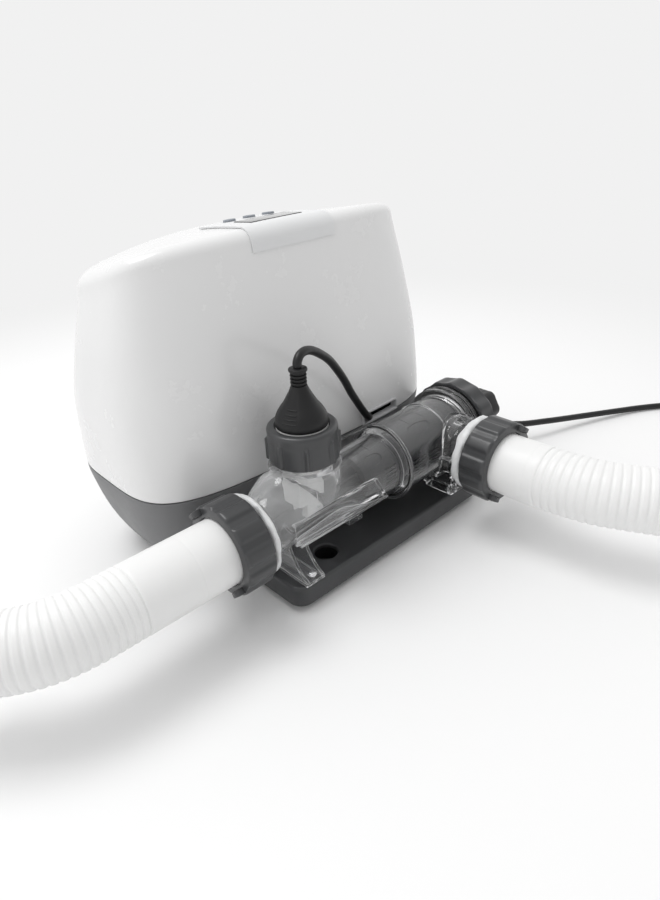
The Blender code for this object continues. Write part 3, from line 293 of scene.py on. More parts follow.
# finish, colour, roughness, brushing stretch, brushing strength, brushing scale
METALS = [
    ("winding_copper", (0.62, 0.27, 0.12), 0.30, (1.0, 1.0, 1.0), 0.5, 500.0),
    ("screw_chrome", (0.80, 0.80, 0.81), 0.14, (1.0, 1.0, 1.0), 0.15, 900.0),
    ("pin_brass", (0.76, 0.58, 0.28), 0.22, (6.0, 1.0, 6.0), 0.3, 500.0),
    ("titanium_mesh", (0.20, 0.195, 0.19), 0.42, (1.0, 1.0, 1.0), 0.6, 900.0),
]
MATERIALS = {}
for finish, *values, extras in PLASTICS:
    MATERIALS[finish] = plastic("mat_" + finish, *values, **extras)
for finish, *values in METALS:
    MATERIALS[finish] = metal("mat_" + finish, *values)
MATERIALS["vessel_clear"] = clear_plastic("mat_vessel_clear", tint=(0.975, 0.978, 0.982),
                                          rough=0.014, haze=0.006, milky_and_glare=0.17,
                                          wave_depth=0.00012)


# ================================================================== mesh helpers
def make(bm, matrix=MILLIMETRES, name="helper", finish=None, body="base", slot=None, angle=32.0):
    """Object from a bmesh. Only one with a finish joins a body, when a body is given. The slot
    argument is not used."""
    bmesh.ops.recalc_face_normals(bm, faces=bm.faces[:])
    mesh = bpy.data.meshes.new(name)
    bm.to_mesh(mesh)
    bm.free()
    obj = bpy.data.objects.new(name, mesh)
    bpy.context.scene.collection.objects.link(obj)
    mesh.transform(matrix)
    mesh.materials.append(MATERIALS[finish or "moulded_black"])
    sharpen(obj, angle)
    if finish:
        if body:
            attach(obj, body)
    return obj


def sharpen(obj, angle=32.0):
    obj.data.shade_smooth()
    obj.data.set_sharp_from_angle(angle=math.radians(angle))


def axis_matrix(origin, axis, up=None):
    """Local millimetres to metres, with local z along the axis."""
    z = Vector(axis).normalized()
    reference = Vector(up) if up else Vector(UP) if abs(z.z) < 0.9 else Vector(RIGHT)
    x = reference.cross(z).normalized()
    matrix = Matrix((x, z.cross(x), z)).transposed().to_4x4()
    matrix.translation = Vector(origin)
    return MILLIMETRES @ matrix


def upright(x, y):
    return axis_matrix((x, y, 0), UP)


def bridge(bm, lower, upper):
    """Faces between two rings; either may be a single point."""
    count = max(len(lower), len(upper))
    for i in range(count):
        j = (i + 1) % count
        if len(lower) == 1:
            bm.faces.new((lower[0], upper[j], upper[i]))
        elif len(upper) == 1:
            bm.faces.new((lower[i], lower[j], upper[0]))
        else:
            bm.faces.new((lower[i], lower[j], upper[j], upper[i]))


def loft(rings, matrix=MILLIMETRES, close=False, **part):
    """Skin through rings of equal length; the ends are capped, or joined if close is set."""
    bm = bmesh.new()
    rings = [[bm.verts.new(point) for point in ring] for ring in rings]
    for lower, upper in zip(rings, rings[1:]):
        bridge(bm, lower, upper)
    if close:
        bridge(bm, rings[-1], rings[0])
    else:
        bm.faces.new(rings[0])
        bm.faces.new(rings[-1])
    return make(bm, matrix, **part)


def turned(profile, matrix, steps, shape=None, closed=False, **part):
    """Revolves (radius, height) stations; shape(angle, *station) may change the radius."""
    bm = bmesh.new()
    rings = []
    for station in profile:
        radius, height = station[:2]
        if radius < 1e-6:
            rings.append([bm.verts.new((0, 0, height))])
            continue
        ring = []
        for i in range(steps):
            angle = 2 * math.pi * i / steps
            r = shape(angle, *station) if shape else radius
            ring.append(bm.verts.new((r * math.cos(angle), r * math.sin(angle), height)))
        rings.append(ring)
    for lower, upper in zip(rings, rings[1:]):
        bridge(bm, lower, upper)
    if closed:
        bridge(bm, rings[-1], rings[0])
    return make(bm, matrix, **part)


def round_profile(points, radii, steps=4):
    """Rounds the corners of an open profile; radii is one number or one per point."""
    rounded = [points[0]]
    for i in range(1, len(points) - 1):
        before, edge_glint, after = (Vector(points[k]) for k in (i - 1, i, i + 1))
        radius = radii[i] if isinstance(radii, list) else radii
        reach = min(radius, 0.45 * (before - edge_glint).length, 0.45 * (after - edge_glint).length)
        if reach < 1e-4:
            rounded.append(tuple(edge_glint))
            continue
        start = edge_glint + (before - edge_glint).normalized() * reach
        end = edge_glint + (after - edge_glint).normalized() * reach
        for j in range(steps + 1):
            t = j / steps
            rounded.append(tuple((1 - t) ** 2 * start + 2 * t * (1 - t) * edge_glint + t * t * end))
    rounded.append(points[-1])
    return rounded


def rod(radius, low, high, matrix, steps):
    return turned([(0, low), (radius, low), (radius, high), (0, high)], matrix, steps)


def post(x, y, radius, low, high, steps=24):
    return rod(radius, low, high, upright(x, y), steps)


def box_mesh(low, high):
    bm = bmesh.new()
    bmesh.ops.create_cube(bm, size=1.0)
    for vert in bm.verts:
        vert.co = Vector([(low[k] + high[k]) / 2 + vert.co[k] * (high[k] - low[k])
                          for k in range(3)])
    return bm


def box(low, high, bevel=0.0, segments=2, matrix=MILLIMETRES, **part):
    bm = box_mesh(low, high)
    if bevel:
        bmesh.ops.bevel(bm, geom=bm.verts[:] + bm.edges[:], offset=bevel, segments=segments,
                        profile=0.6, affect='EDGES')
    return make(bm, matrix, **part)


def combine(target, tools, operation):
    """Applies booleans in turn, removes the tools and keeps the target's one material."""
    material = target.data.materials[0]
    for tool in tools:
        modifier = target.modifiers.new("b", 'BOOLEAN')
        modifier.operation = operation
        modifier.solver = 'EXACT'
        modifier.object = tool
        bpy.context.view_layer.update()
        depsgraph = bpy.context.evaluated_depsgraph_get()
        mesh = bpy.data.meshes.new_from_object(target.evaluated_get(depsgraph))
        target.modifiers.clear()
        old = target.data
        target.data = mesh
        mesh.name = target.name
        bpy.data.meshes.remove(old)
        bpy.data.objects.remove(tool, do_unlink=True)
    bm = bmesh.new()
    bm.from_mesh(target.data)
    bmesh.ops.remove_doubles(bm, verts=bm.verts, dist=1e-6)
    bmesh.ops.dissolve_degenerate(bm, edges=bm.edges, dist=1e-6)
    bm.to_mesh(target.data)
    bm.free()
    while len(target.data.materials) > 1:
        target.data.materials.pop()
    target.data.materials[0] = material
    target.data.polygons.foreach_set("material_index", [0] * len(target.data.polygons))


def cut(target, *tools):
    combine(target, tools, 'DIFFERENCE')


def fuse(target, *tools):
    combine(target, tools, 'UNION')


# ================================================================== curve helpers
def smooth01(t):
    t = min(max(t, 0.0), 1.0)
    return t * t * (3 - 2 * t)


def smooth_curve(table, at, column=1):
    """Monotone cubic through one column of a table, by its first column."""
    if at <= table[0][0]:
        return table[0][column]
    if at >= table[-1][0]:
        return table[-1][column]
    knots = [(row[0], row[column]) for row in table]
    spans = list(zip(knots, knots[1:]))
    slopes = [(y1 - y0) / (x1 - x0) for (x0, y0), (x1, y1) in spans]
    tangents = [slopes[0]]
    for a, b in zip(slopes, slopes[1:]):
        tangents.append(0.0 if a * b <= 0 else 2 * a * b / (a + b))
    tangents.append(slopes[-1])
    for ((x0, y0), (x1, y1)), start, end in zip(spans, tangents, tangents[1:]):
        if at <= x1:
            span = x1 - x0
            t = (at - x0) / span
            return ((2 * t ** 3 - 3 * t ** 2 + 1) * y0 + (t ** 3 - 2 * t ** 2 + t) * span * start
                    + (-2 * t ** 3 + 3 * t ** 2) * y1 + (t ** 3 - t ** 2) * span * end)


def curve_points(path, steps):
    """Even samples along a Catmull-Rom curve through the path, and its length."""
    points = [Vector(p) for p in path]
    dense = []
    for i in range(len(points) - 1):
        p0, p1 = points[max(i - 1, 0)], points[i]
        p2, p3 = points[i + 1], points[min(i + 2, len(points) - 1)]
        for k in range(24):
            t = k / 24.0
            dense.append(0.5 * ((2 * p1) + (-p0 + p2) * t
                                + (2 * p0 - 5 * p1 + 4 * p2 - p3) * t * t
                                + (-p0 + 3 * p1 - 3 * p2 + p3) * t ** 3))
    dense.append(points[-1])
    reached = [0.0]
    for a, b in zip(dense[:-1], dense[1:]):
        reached.append(reached[-1] + (b - a).length)
    even = []
    j = 0
    for k in range(steps + 1):
        s = reached[-1] * k / steps
        while j < len(dense) - 2 and reached[j + 1] < s:
            j += 1
        span = reached[j + 1] - reached[j]
        even.append(dense[j].lerp(dense[j + 1], 0.0 if span < 1e-9 else (s - reached[j]) / span))
    return even, reached[-1]


def frames_along(points):
    """Tangent and two normals at each point, carried along without twist."""
    last = len(points) - 1
    tangents = [(points[min(i + 1, last)] - points[max(i - 1, 0)]).normalized()
                for i in range(len(points))]
    reference = Vector(UP) if abs(tangents[0].z) < 0.9 else Vector(RIGHT)
    normal = (reference - tangents[0] * reference.dot(tangents[0])).normalized()
    frames = []
    for tangent in tangents:
        normal = (normal - tangent * normal.dot(tangent)).normalized()
        frames.append((tangent, normal, tangent.cross(normal)))
    return frames


def circle(centre, radius, first, second, sides):
    ring = []
    for i in range(sides):
        angle = 2 * math.pi * i / sides
        ring.append(centre + radius * (math.cos(angle) * first + math.sin(angle) * second))
    return ring


def cable(path, radius, steps, sides, tip=0.6, **part):
    """Round cable along a path, chamfered by `tip` at both ends."""
    points, _ = curve_points(path, steps)
    frames = frames_along(points)
    start, end = points[0], points[-1]
    centres = [start + frames[0][0] * tip] + points[1:-1] + [end - frames[-1][0] * tip]
    rings = [circle(start, radius - tip, *frames[0][1:], sides)]
    rings += [circle(p, radius, a, b, sides) for p, (_, a, b) in zip(centres, frames)]
    rings.append(circle(end, radius - tip, *frames[-1][1:], sides))
    return loft(rings, angle=50.0, **part)


# ================================================================== housing surface
def half_x(z):
    return smooth_curve(HOUSING, z, 1)


def half_y(z):
    return smooth_curve(HOUSING, z, 2)


def warp(x, y, z):
    """Lift that arches the upper housing along x and lets it fall to the back."""
    rise = min(max((z - 120.0) / (ROOF_Z - 120.0), 0.0), 1.0)
    back = min(max((y + 66.0) / 130.0, 0.0), 1.0)
    return rise * rise * (3 - 2 * rise) * back * (ARCH * (1 - (x / 150.0) ** 2) - FALL)


def plan(a, b):
    """Superellipse outline with points spread evenly along it."""
    dense = []
    count = PLAN_POINTS * 8
    power = 2 / EXPONENT
    for i in range(count):
        t = 2 * math.pi * i / count
        c, s = math.cos(t), math.sin(t)
        dense.append((a * math.copysign(abs(c) ** power, c),
                      b * math.copysign(abs(s) ** power, s)))
    reached = [0.0]
    for p, q in zip(dense, dense[1:] + dense[:1]):
        reached.append(reached[-1] + math.hypot(q[0] - p[0], q[1] - p[1]))
    even = []
    j = 0
    for k in range(PLAN_POINTS):
        s = reached[-1] * k / PLAN_POINTS
        while reached[j + 1] < s:
            j += 1
        f = (s - reached[j]) / max(reached[j + 1] - reached[j], 1e-9)
        p, q = dense[j], dense[(j + 1) % count]
        even.append((p[0] + (q[0] - p[0]) * f, p[1] + (q[1] - p[1]) * f))
    return even


def level_ring(z, inset=0.0, height=None):
    """Plan of the housing at z, laid flat at z or at another height."""
    height = z if height is None else height
    return [(x, y, height) for x, y in plan(half_x(z) - inset, half_y(z) - inset)]


def warped_ring(z, inset=0.0):
    return [(x, y, z + warp(x, y, z)) for x, y, _ in level_ring(z, inset)]


def roof_rings(inset, fractions, fillet_steps=10):
    """Rings over the roof fillet, then shrinking rings over the crown."""
    rings = []
    radius = ROOF_FILLET - inset
    a, b = half_x(EAVE_Z) - inset, half_y(EAVE_Z) - inset
    for k in range(fillet_steps + 1):
        angle = math.pi / 2 * k / fillet_steps
        d = radius * (1 - math.cos(angle))
        z = EAVE_Z + radius * math.sin(angle)
        rings.append([(x, y, z + warp(x, y, z + inset)) for x, y in plan(a - d, b - d)])
    for f in fractions:
        z = ROOF_Z - inset + CROWN * (1 - f * f)
        rings.append([(x, y, z + warp(x, y, ROOF_Z))
                      for x, y in plan((a - radius) * f, (b - radius) * f)])
    return rings


def wall_point(x, height, out=0.0):
    """Point on the front wall at a height after warping, moved out of the wall."""
    z = height
    for _ in range(10):
        y = -half_y(z) * (1 - (abs(x) / half_x(z)) ** EXPONENT) ** (1 / EXPONENT)
        z = height - warp(x, y, z)
    return Vector((x, y - out, height))


def roof_point(x, y):
    a, b = half_x(EAVE_Z), half_y(EAVE_Z)

    def outside(inset):
        return (abs(x) / (a - inset)) ** EXPONENT + (abs(y) / (b - inset)) ** EXPONENT

    if outside(ROOF_FILLET) <= 1.0:
        fraction_squared = outside(ROOF_FILLET) ** (2 / EXPONENT)
        return Vector((x, y, ROOF_Z + CROWN * (1 - fraction_squared) + warp(x, y, ROOF_Z)))
    low, high = 0.0, ROOF_FILLET
    for _ in range(30):
        middle = (low + high) / 2
        if outside(middle) > 1.0:
            high = middle
        else:
            low = middle
    c = 1 - low / ROOF_FILLET
    z = EAVE_Z + ROOF_FILLET * math.sqrt(max(0.0, 1 - c * c))
    return Vector((x, y, z + warp(x, y, z)))


def roof_matrix(x, y):
    """Local millimetres to metres on the roof; local z is the outward normal."""
    along_x = roof_point(x + 1, y) - roof_point(x - 1, y)
    along_y = roof_point(x, y + 1) - roof_point(x, y - 1)
    return axis_matrix(roof_point(x, y), along_x.cross(along_y).normalized(), BACK)


# ================================================================== white shell and its controls
def gate_outline(grow, bottom):
    """(x, z) outline of the cable gate: flat bottom, rounded top corners."""
    x0, x1 = GATE_X0 - grow, GATE_X1 + grow
    top = GATE_Z1 + grow
    r = GATE_RADIUS + grow
    points = [(x0, bottom)] + [(x0 + (x1 - x0) * i / 10, bottom) for i in range(1, 10)]
    points.append((x1, bottom))
    for centre_x, start in ((x1 - r, 0), (x0 + r, 90)):
        for i in range(9):
            angle = math.radians(start + 90.0 * i / 8)
            points.append((centre_x + r * math.cos(angle), top - r + r * math.sin(angle)))
        if start == 0:
            points += [(x1 - r - (x1 - x0 - 2 * r) * i / 10, top) for i in range(1, 10)]
    return points


def gate_cutter(bottom):
    outline = gate_outline(GAP, bottom)
    return loft([[(x, y, z) for x, z in outline] for y in (-100.0, -72.0)])


def cut_control_openings(target):
    for _, x in KEYS:
        bm = bmesh.new()
        bmesh.ops.create_cone(bm, cap_ends=True, segments=64, radius1=KEY_RADIUS + GAP,
                              radius2=KEY_RADIUS + GAP, depth=24.0)
        cut(target, make(bm, roof_matrix(x, KEY_Y)))
    cut(target, box((-WINDOW_HALF_X - GAP, -WINDOW_HALF_Y - GAP, -9.0),
                    (WINDOW_HALF_X + GAP, WINDOW_HALF_Y + GAP, 9.0),
                    matrix=roof_matrix(0.0, WINDOW_Y)))


def build_shell():
    lip = 0.9               # rounding of the lower outer edge
    outer = []
    for k in range(4):
        angle = math.pi / 2 * k / 3
        outer.append(level_ring(SHELL_EDGE_Z, lip * (1 - math.sin(angle)),
                                SHELL_EDGE_Z + lip * (1 - math.cos(angle))))
    outer += [warped_ring(90 + 6.6 * i) for i in range(26)]
    outer += roof_rings(0.0, [1 - 0.085 * i for i in range(1, 12)])
    inner = [level_ring(SHELL_EDGE_Z, WALL)]
    inner += [warped_ring(z, WALL) for z in range(105, 255, 15)]
    inner += roof_rings(WALL, (0.9, 0.7, 0.5, 0.3, 0.06), 5)

    bm = bmesh.new()
    outer = [[bm.verts.new(point) for point in ring] for ring in outer]
    inner = [[bm.verts.new(point) for point in ring] for ring in inner]
    for rings in (outer, inner):
        for lower, upper in zip(rings, rings[1:]):
            bridge(bm, lower, upper)
        bm.faces.new(rings[-1])
    bridge(bm, outer[0], inner[0])
    shell = make(bm, name="housing_shell_fine", finish="shell_white")
    cut(shell, gate_cutter(GATE_Z0 - 2.0))
    cut_control_openings(shell)
    for x, y in TOWERS:
        fuse(shell, post(x, y, 5.0, 100.3, roof_point(x, y).z - 1.2))
    sharpen(shell)
    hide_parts("housing_shell")


def build_panel():
    """Film that runs from the front wall over the crease onto the roof."""
    columns = 37
    lift, thickness = 0.3, 1.2
    crease = -half_y(EAVE_Z)
    xs = [42.0 * (2.0 * i / (columns - 1) - 1.0) for i in range(columns)]
    ys = [crease + d for d in
          (0.25, 0.6, 1.1, 1.8, 2.7, 3.8, 5.1, 6.6, 8.3, 10.2, 12.3, 14.5)]
    ys += [crease + 17 + 3.4 * i for i in range(15)] + [4.0]
    grid = [[wall_point(x, 257.0 + 0.9 * i) for x in xs] for i in range(6)]
    grid += [[roof_point(x, y) for x in xs] for y in ys]
    last_row, last = len(grid) - 1, columns - 1

    def normal(i, j):
        along = grid[j][min(i + 1, last)] - grid[j][max(i - 1, 0)]
        across = grid[min(j + 1, last_row)][i] - grid[max(j - 1, 0)][i]
        n = along.cross(across).normalized()
        return -n if n.z - n.y < 0 else n

    bm = bmesh.new()
    low, top = ([[bm.verts.new(grid[j][i] + normal(i, j) * height) for i in range(columns)]
                 for j in range(last_row + 1)] for height in (lift, lift + thickness))
    for sheet in (low, top):
        for j in range(last_row):
            for i in range(last):
                bm.faces.new((sheet[j][i], sheet[j][i + 1],
                              sheet[j + 1][i + 1], sheet[j + 1][i]))
    rim = [(0, i) for i in range(columns)] + [(j, last) for j in range(1, last_row + 1)]
    rim += [(last_row, i) for i in range(last - 1, -1, -1)]
    rim += [(j, 0) for j in range(last_row - 1, 0, -1)]
    bridge(bm, [low[j][i] for j, i in rim], [top[j][i] for j, i in rim])
    panel = make(bm, name="control_panel_film", finish="panel_film", slot="panel_white")
    cut_control_openings(panel)
    sharpen(panel)
    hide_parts("control_panel")


def build_keys():
    profile = round_profile(
        [(0, -7.0), (2.2, -7.0), (2.2, -4.9), (6.6, -4.9), (6.6, -3.4), (KEY_RADIUS, -3.4),
         (KEY_RADIUS, 3.2), (3.6, 3.0), (0, 2.2)], [0, 0.2, 0.2, 0.3, 0.3, 0.2, 0.8, 1.2, 0])
    for name, x in KEYS:
        key = turned(profile, roof_matrix(x, KEY_Y), 48, name=name + "_cap",
                     finish="key_grey", body=name, angle=40.0)
        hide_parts(name)


def build_window():
    lens = box((-WINDOW_HALF_X, -WINDOW_HALF_Y, -3.0), (WINDOW_HALF_X, WINDOW_HALF_Y, 1.9),
               bevel=0.7, segments=4, matrix=roof_matrix(0.0, WINDOW_Y),
               name="display_window_lens", finish="window_dark")
    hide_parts("display_window")


def build_gate():
    # growth of the outline, distance out of the wall
    section = [(0.0, -5.4), (0.0, 0.9), (-0.25, 1.4), (-0.7, 1.65),
               (-1.6, 1.65), (-2.1, 1.4), (-2.3, 0.9), (-2.3, -5.4)]
    rings = [[wall_point(x, z, out) for x, z in gate_outline(grow, GATE_Z0 - grow)]
             for grow, out in section]
    gate = loft(rings, close=True, name="cable_gate_frame", finish="gate_grey")
    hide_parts("cable_gate")


# ================================================================== grey base
def build_base():
    rim_outer, rim_inner, rim_top = WALL + 0.5, WALL + 2.3, 91.0
    # height that sets the plan, inset, height of the ring
    stations = [(4.0, 1.6, 4.0), (4.4, 0.6, 4.4)]
    stations += [(z, 0.0, z) for z in
                 (5.6, 9, 14, 20, 27, 34, 42, 50, 58, 66, 74, 80, BASE_TOP_Z - 0.7)]
    stations += [(BASE_TOP_Z, 0.25, BASE_TOP_Z - 0.2), (BASE_TOP_Z, 0.8, BASE_TOP_Z),
                 (SEAM_Z, rim_outer, BASE_TOP_Z), (SEAM_Z, rim_outer, rim_top),
                 (SEAM_Z, rim_inner, rim_top)]
    stations += [(z, rim_inner, z) for z in (BASE_TOP_Z, 60, 27)]
    base = loft([level_ring(*station) for station in stations],
                name="housing_base_fine", finish="base_grey")
    for x, y in TOWERS:
        fuse(base, post(x, y, 6.6, 20.0, 100.0, 32))
        cut(base, post(x, y, 4.4, 3.0, 91.5, 32), post(x, y, 2.2, 90.0, 102.0))
    # four short posts on the floor of the base
    for x, y in ((-64.0, -14.0), (14.0, -14.0), (-64.0, 44.0), (14.0, 44.0)):
        fuse(base, post(x, y, 3.2, 25.0, 39.7))
    cut(base, box((TRAY_X0 - GAP, TRAY_Y0, 0), (TRAY_X1 + GAP, TRAY_Y1 + GAP, TRAY_Z1 + GAP)))
    cut(base, gate_cutter(BASE_TOP_Z))
    for _, y, z in CABLE_ENTRIES:
        cut(base, rod(7.5, 0, 40.0, axis_matrix((135.0, y, z), RIGHT), 40))
    # cooling slots in the rear wall
    for k in range(9):
        x = -44.0 + 11.0 * k
        cut(base, box((x - 1.6, 60.0, 38.0), (x + 1.6, 100.0, 62.0)))
    sharpen(base)
    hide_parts("housing_base")


# ================================================================== tray
def tray_ring(inset, z):
    """Rounded rectangle, inset from the tray's outline."""
    r = 12.0 - inset * 0.8
    x0, x1 = TRAY_X0 + inset, TRAY_X1 - inset
    y0, y1 = TRAY_Y0 + inset, TRAY_Y1 - inset
    ring = []
    for centre_x, centre_y, start in ((x1 - r, y1 - r, 0), (x0 + r, y1 - r, 90),
                                      (x0 + r, y0 + r, 180), (x1 - r, y0 + r, 270)):
        for i in range(11):
            angle = math.radians(start + 90.0 * i / 10)
            ring.append((centre_x + r * math.cos(angle), centre_y + r * math.sin(angle), z))
    return ring


def build_tray():
    edge_height, edge_inset = 3.0, 2.4      # rounding of the top edge
    rings = [tray_ring(0.7, TRAY_Z0), tray_ring(0.2, TRAY_Z0 + 0.2), tray_ring(0.0, TRAY_Z0 + 0.8)]
    for k in range(7):
        angle = math.pi / 2 * k / 6
        rings.append(tray_ring(edge_inset * (1 - math.cos(angle)),
                               TRAY_Z1 - edge_height + edge_height * math.sin(angle)))
    rings.append(tray_ring(3.4, TRAY_Z1))
    tray = loft(rings, name="cell_tray_fine", finish="tray_charcoal")
    wall = 4
    cut(tray, box((TRAY_X0 + wall, TRAY_Y0 + wall, 0),
                  (TRAY_X1 - wall, TRAY_Y1 - wall, TRAY_Z1 - wall)))
    bosses = [(x, y, 7.5) for _, x, y in FEET] + [(x, y, 5.0) for _, x, y, _ in VESSEL_SCREWS]
    for x, y, radius in bosses:
        fuse(tray, post(x, y, radius, TRAY_Z0, TRAY_Z1 - 2.0, 32))
    for _, x, y, _ in VESSEL_SCREWS:
        cut(tray, post(x, y, 1.9, 9.0, 29.0))
    # round opening with a chamfered rim
    cut(tray, turned([(0, 0.0), (10.0, 0.0), (10.0, TRAY_Z1 - 1.2), (11.4, TRAY_Z1 + 0.2),
                      (11.4, 40.0), (0, 40.0)], upright(*WELL), 48))
    sharpen(tray)
    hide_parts("cell_tray")


def build_tray_well():
    """Black cup under the round opening."""
    turned([(0, TRAY_Z0 + 0.6), (12.4, TRAY_Z0 + 0.6), (12.4, TRAY_Z1 - 4.1),
            (11.0, TRAY_Z1 - 4.1), (11.0, TRAY_Z0 + 2.0), (0, TRAY_Z0 + 2.0)],
           upright(*WELL), 48, name="tray_well", finish="moulded_black", slot="tray_charcoal")


def build_feet():
    r, height = 7.4, 5.2
    profile = round_profile([(0, 0), (r - 1.0, 0), (r, 1.2), (r, height), (0, height)],
                            [0, 0.8, 0.6, 0.3, 0])
    for name, x, y in FEET:
        foot = turned(profile, upright(x, y), 48, name=name + "_pad", finish="rubber_black")
        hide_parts(name)


# ================================================================== clear vessel
# x, centre z, half depth, half height of the oval body
VESSEL_BODY = [
    (-113.0, PORT_Z, 24.3, 24.3), (-104.0, 72.9, 25.3, 26.3), (-96.0, 76.6, 26.2, 29.6),
    (-88.0, 79.6, 26.4, 31.6), (-76.0, 80.0, 26.2, 31.4), (-59.0, 78.6, 25.4, 29.2),
    (-44.0, 75.6, 25.0, 27.2), (-30.0, 72.8, 25.4, 26.2), (-14.0, 71.0, 26.4, 26.6),
    (8.0, 70.8, 27.4, 27.4), (27.0, 71.2, 28.2, 28.2), (30.0, 71.4, 29.0, 29.0)]
VESSEL_SIDES = 88
# (radius, distance along the axis) of the turned outer parts
INLET_PROFILE = [
    (0, -136.9), (29.4, -136.9), (30.0, -136.2), (30.0, -119.2), (26.0, -119.2),
    (26.0, -111.9), (28.0, -111.9), (28.0, -109.5), (22.0, -109.5), (0, -109.5)]
CHAMBER_PROFILE = [
    (0, 25.0), (29.0, 25.0), (33.0, 26.2), (35.4, 26.2), (35.4, 29.6), (33.0, 29.6),
    (33.0, 84.0), (34.4, 84.0), (34.4, 87.0), (33.2, 87.0), (33.6, 106.0), (37.6, 110.0),
    (39.4, 110.0), (39.4, 113.0), (37.0, 113.0), (37.0, 117.5), (39.4, 117.5),
    (39.4, 120.4), (37.2, 120.4), (37.2, 134.0), (0, 134.0)]
SENSOR_PORT_PROFILE = [
    (0, 74.0), (24.0, 74.0), (26.6, 88.0), (27.4, 106.0), (28.6, 106.6), (28.6, 110.4),
    (23.6, 110.8), (23.6, 131.8), (0, 131.8)]
OUTLET_PROFILE = [
    (0, 0), (28.6, 0), (28.6, 31.0), (25.5, 37.4), (25.5, 43.2), (26.2, 44.0), (26.2, 56.0),
    (30.0, 56.0), (30.0, 71.4), (29.4, 72.0), (0, 72.0)]
CHAMBER_BORE = [
    (0, 26.3), (26.07, 26.3), (30.43, 31.1), (30.43, 107.9), (31.17, 110.2),
    (31.17, 140.3), (0, 140.3)]
# (y, z) side outline of the left foot gussets
FOOT_OUTLINE = [
    (-159.6, 24.0), (-159.7, 27.6), (-156.0, 29.4), (-152.0, 32.4), (-148.0, 36.8),
    (-144.6, 42.0), (-141.6, 48.0), (-139.6, 55.0), (-116.0, 55.0), (-110.4, 40.0),
    (-110.4, 24.0)]


def body_rings(shrink):
    rings = []
    x0, x1 = VESSEL_BODY[0][0], VESSEL_BODY[-1][0]
    for i in range(53):
        x = x0 + (x1 - x0) * i / 52.0
        centre_z, half_depth, half_height = (smooth_curve(VESSEL_BODY, x, column)
                                             for column in (1, 2, 3))
        ring = []
        for k in range(VESSEL_SIDES):
            angle = 2 * math.pi * k / VESSEL_SIDES
            ring.append((x, VESSEL_Y + (half_depth - shrink) * math.cos(angle),
                         centre_z + (half_height - shrink) * math.sin(angle)))
        rings.append(ring)
    return rings


def gusset(x0, x1):
    return loft([[(x, y, z) for y, z in FOOT_OUTLINE] for x in (x0 + 0.4, x1 - 0.4)])


def build_vessel():
    inlet_axis = axis_matrix((0, VESSEL_Y, PORT_Z), RIGHT)
    chamber_axis = axis_matrix((0, VESSEL_Y, CHAMBER_Z), RIGHT)
    sensor_axis = upright(SENSOR_X, VESSEL_Y)
    outlet_axis = axis_matrix((OUTLET_X, VESSEL_Y, PORT_Z), FRONT)

    vessel = loft(body_rings(0.0), name="vessel_clear", finish="vessel_clear")
    fuse(vessel, *[turned(round_profile(profile, 0.5, 3), axis, VESSEL_SIDES)
                   for profile, axis in ((INLET_PROFILE, inlet_axis),
                                         (CHAMBER_PROFILE, chamber_axis),
                                         (SENSOR_PORT_PROFILE, sensor_axis),
                                         (OUTLET_PROFILE, outlet_axis))])
    fuse(
        vessel,
        # thin fins across the outlet and the inlet
        box((OUTLET_X - 1.1, -171.0, PORT_Z - 31.0), (OUTLET_X + 1.1, -156.0, PORT_Z + 31.0), 0.45),
        box((OUTLET_X - 31.0, -170.9, PORT_Z - 1.1), (OUTLET_X, -156.1, PORT_Z + 1.1), 0.45),
        box((-111.2, VESSEL_Y - 1.15, PORT_Z - 28.9), (-98.6, VESSEL_Y + 1.15, PORT_Z + 28.9),
            0.45),
        # left foot: plate and two gussets
        box((-93.5, -160.0, 23.5), (-74.9, -110.0, 26.5), 0.45),
        gusset(-93.5, -90.1),
        gusset(-78.3, -74.9),
        # right foot, then a block under the middle
        box((85.0, -161.0, 23.5), (109.0, -131.0, 34.5), 0.8),
        box((88.0, -142.0, 24.5), (106.0, -112.0, 46.0), 0.8),
        box((-21.0, -134.0, 32.0), (-5.0, -120.0, 47.0), 0.6),
        # front panel between two ledges, with a slanted right end
        box((-97.0, -154.6, 79.4), (-9.0, -149.0, 81.2), 0.4),
        box((-95.0, -153.8, 60.4), (-5.0, -151.7, 80.1), 0.3),
        box((-92.0, -155.6, 58.5), (3.0, -148.0, 60.7), 0.4),
        loft([[(-10.5, y, 81.0), (-7.4, y, 81.0), (5.0, y, 58.7), (1.6, y, 58.7)]
              for y in (-155.2, -150.0)]),
        # upright fin along the top
        box((-33.13, -111.47, 88.2), (27.23, -109.27, 101.3), 0.5))
    cut(
        vessel,
        loft(body_rings(2.8)),
        rod(22.0, -140.0, -108.0, inlet_axis, VESSEL_SIDES),
        turned(CHAMBER_BORE, chamber_axis, 92),
        rod(19.8, 76.0, 140.0, sensor_axis, VESSEL_SIDES),
        rod(22.5, 10.0, 75.0, outlet_axis, VESSEL_SIDES),
        *[post(x, y, 2.3, 20.0, 38.0) for _, x, y, _ in VESSEL_SCREWS])

    # tidy slivers, loose points and pinholes left by the booleans
    bm = bmesh.new()
    bm.from_mesh(vessel.data)
    bmesh.ops.dissolve_degenerate(bm, edges=bm.edges, dist=4e-6)
    loose = [v for v in bm.verts if not v.link_faces]
    bmesh.ops.delete(bm, geom=loose, context='VERTS')
    open_edges = [e for e in bm.edges if len(e.link_faces) == 1]
    bmesh.ops.holes_fill(bm, edges=open_edges, sides=12)
    bm.to_mesh(vessel.data)
    bm.free()
    sharpen(vessel, 34.0)
    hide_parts("vessel")


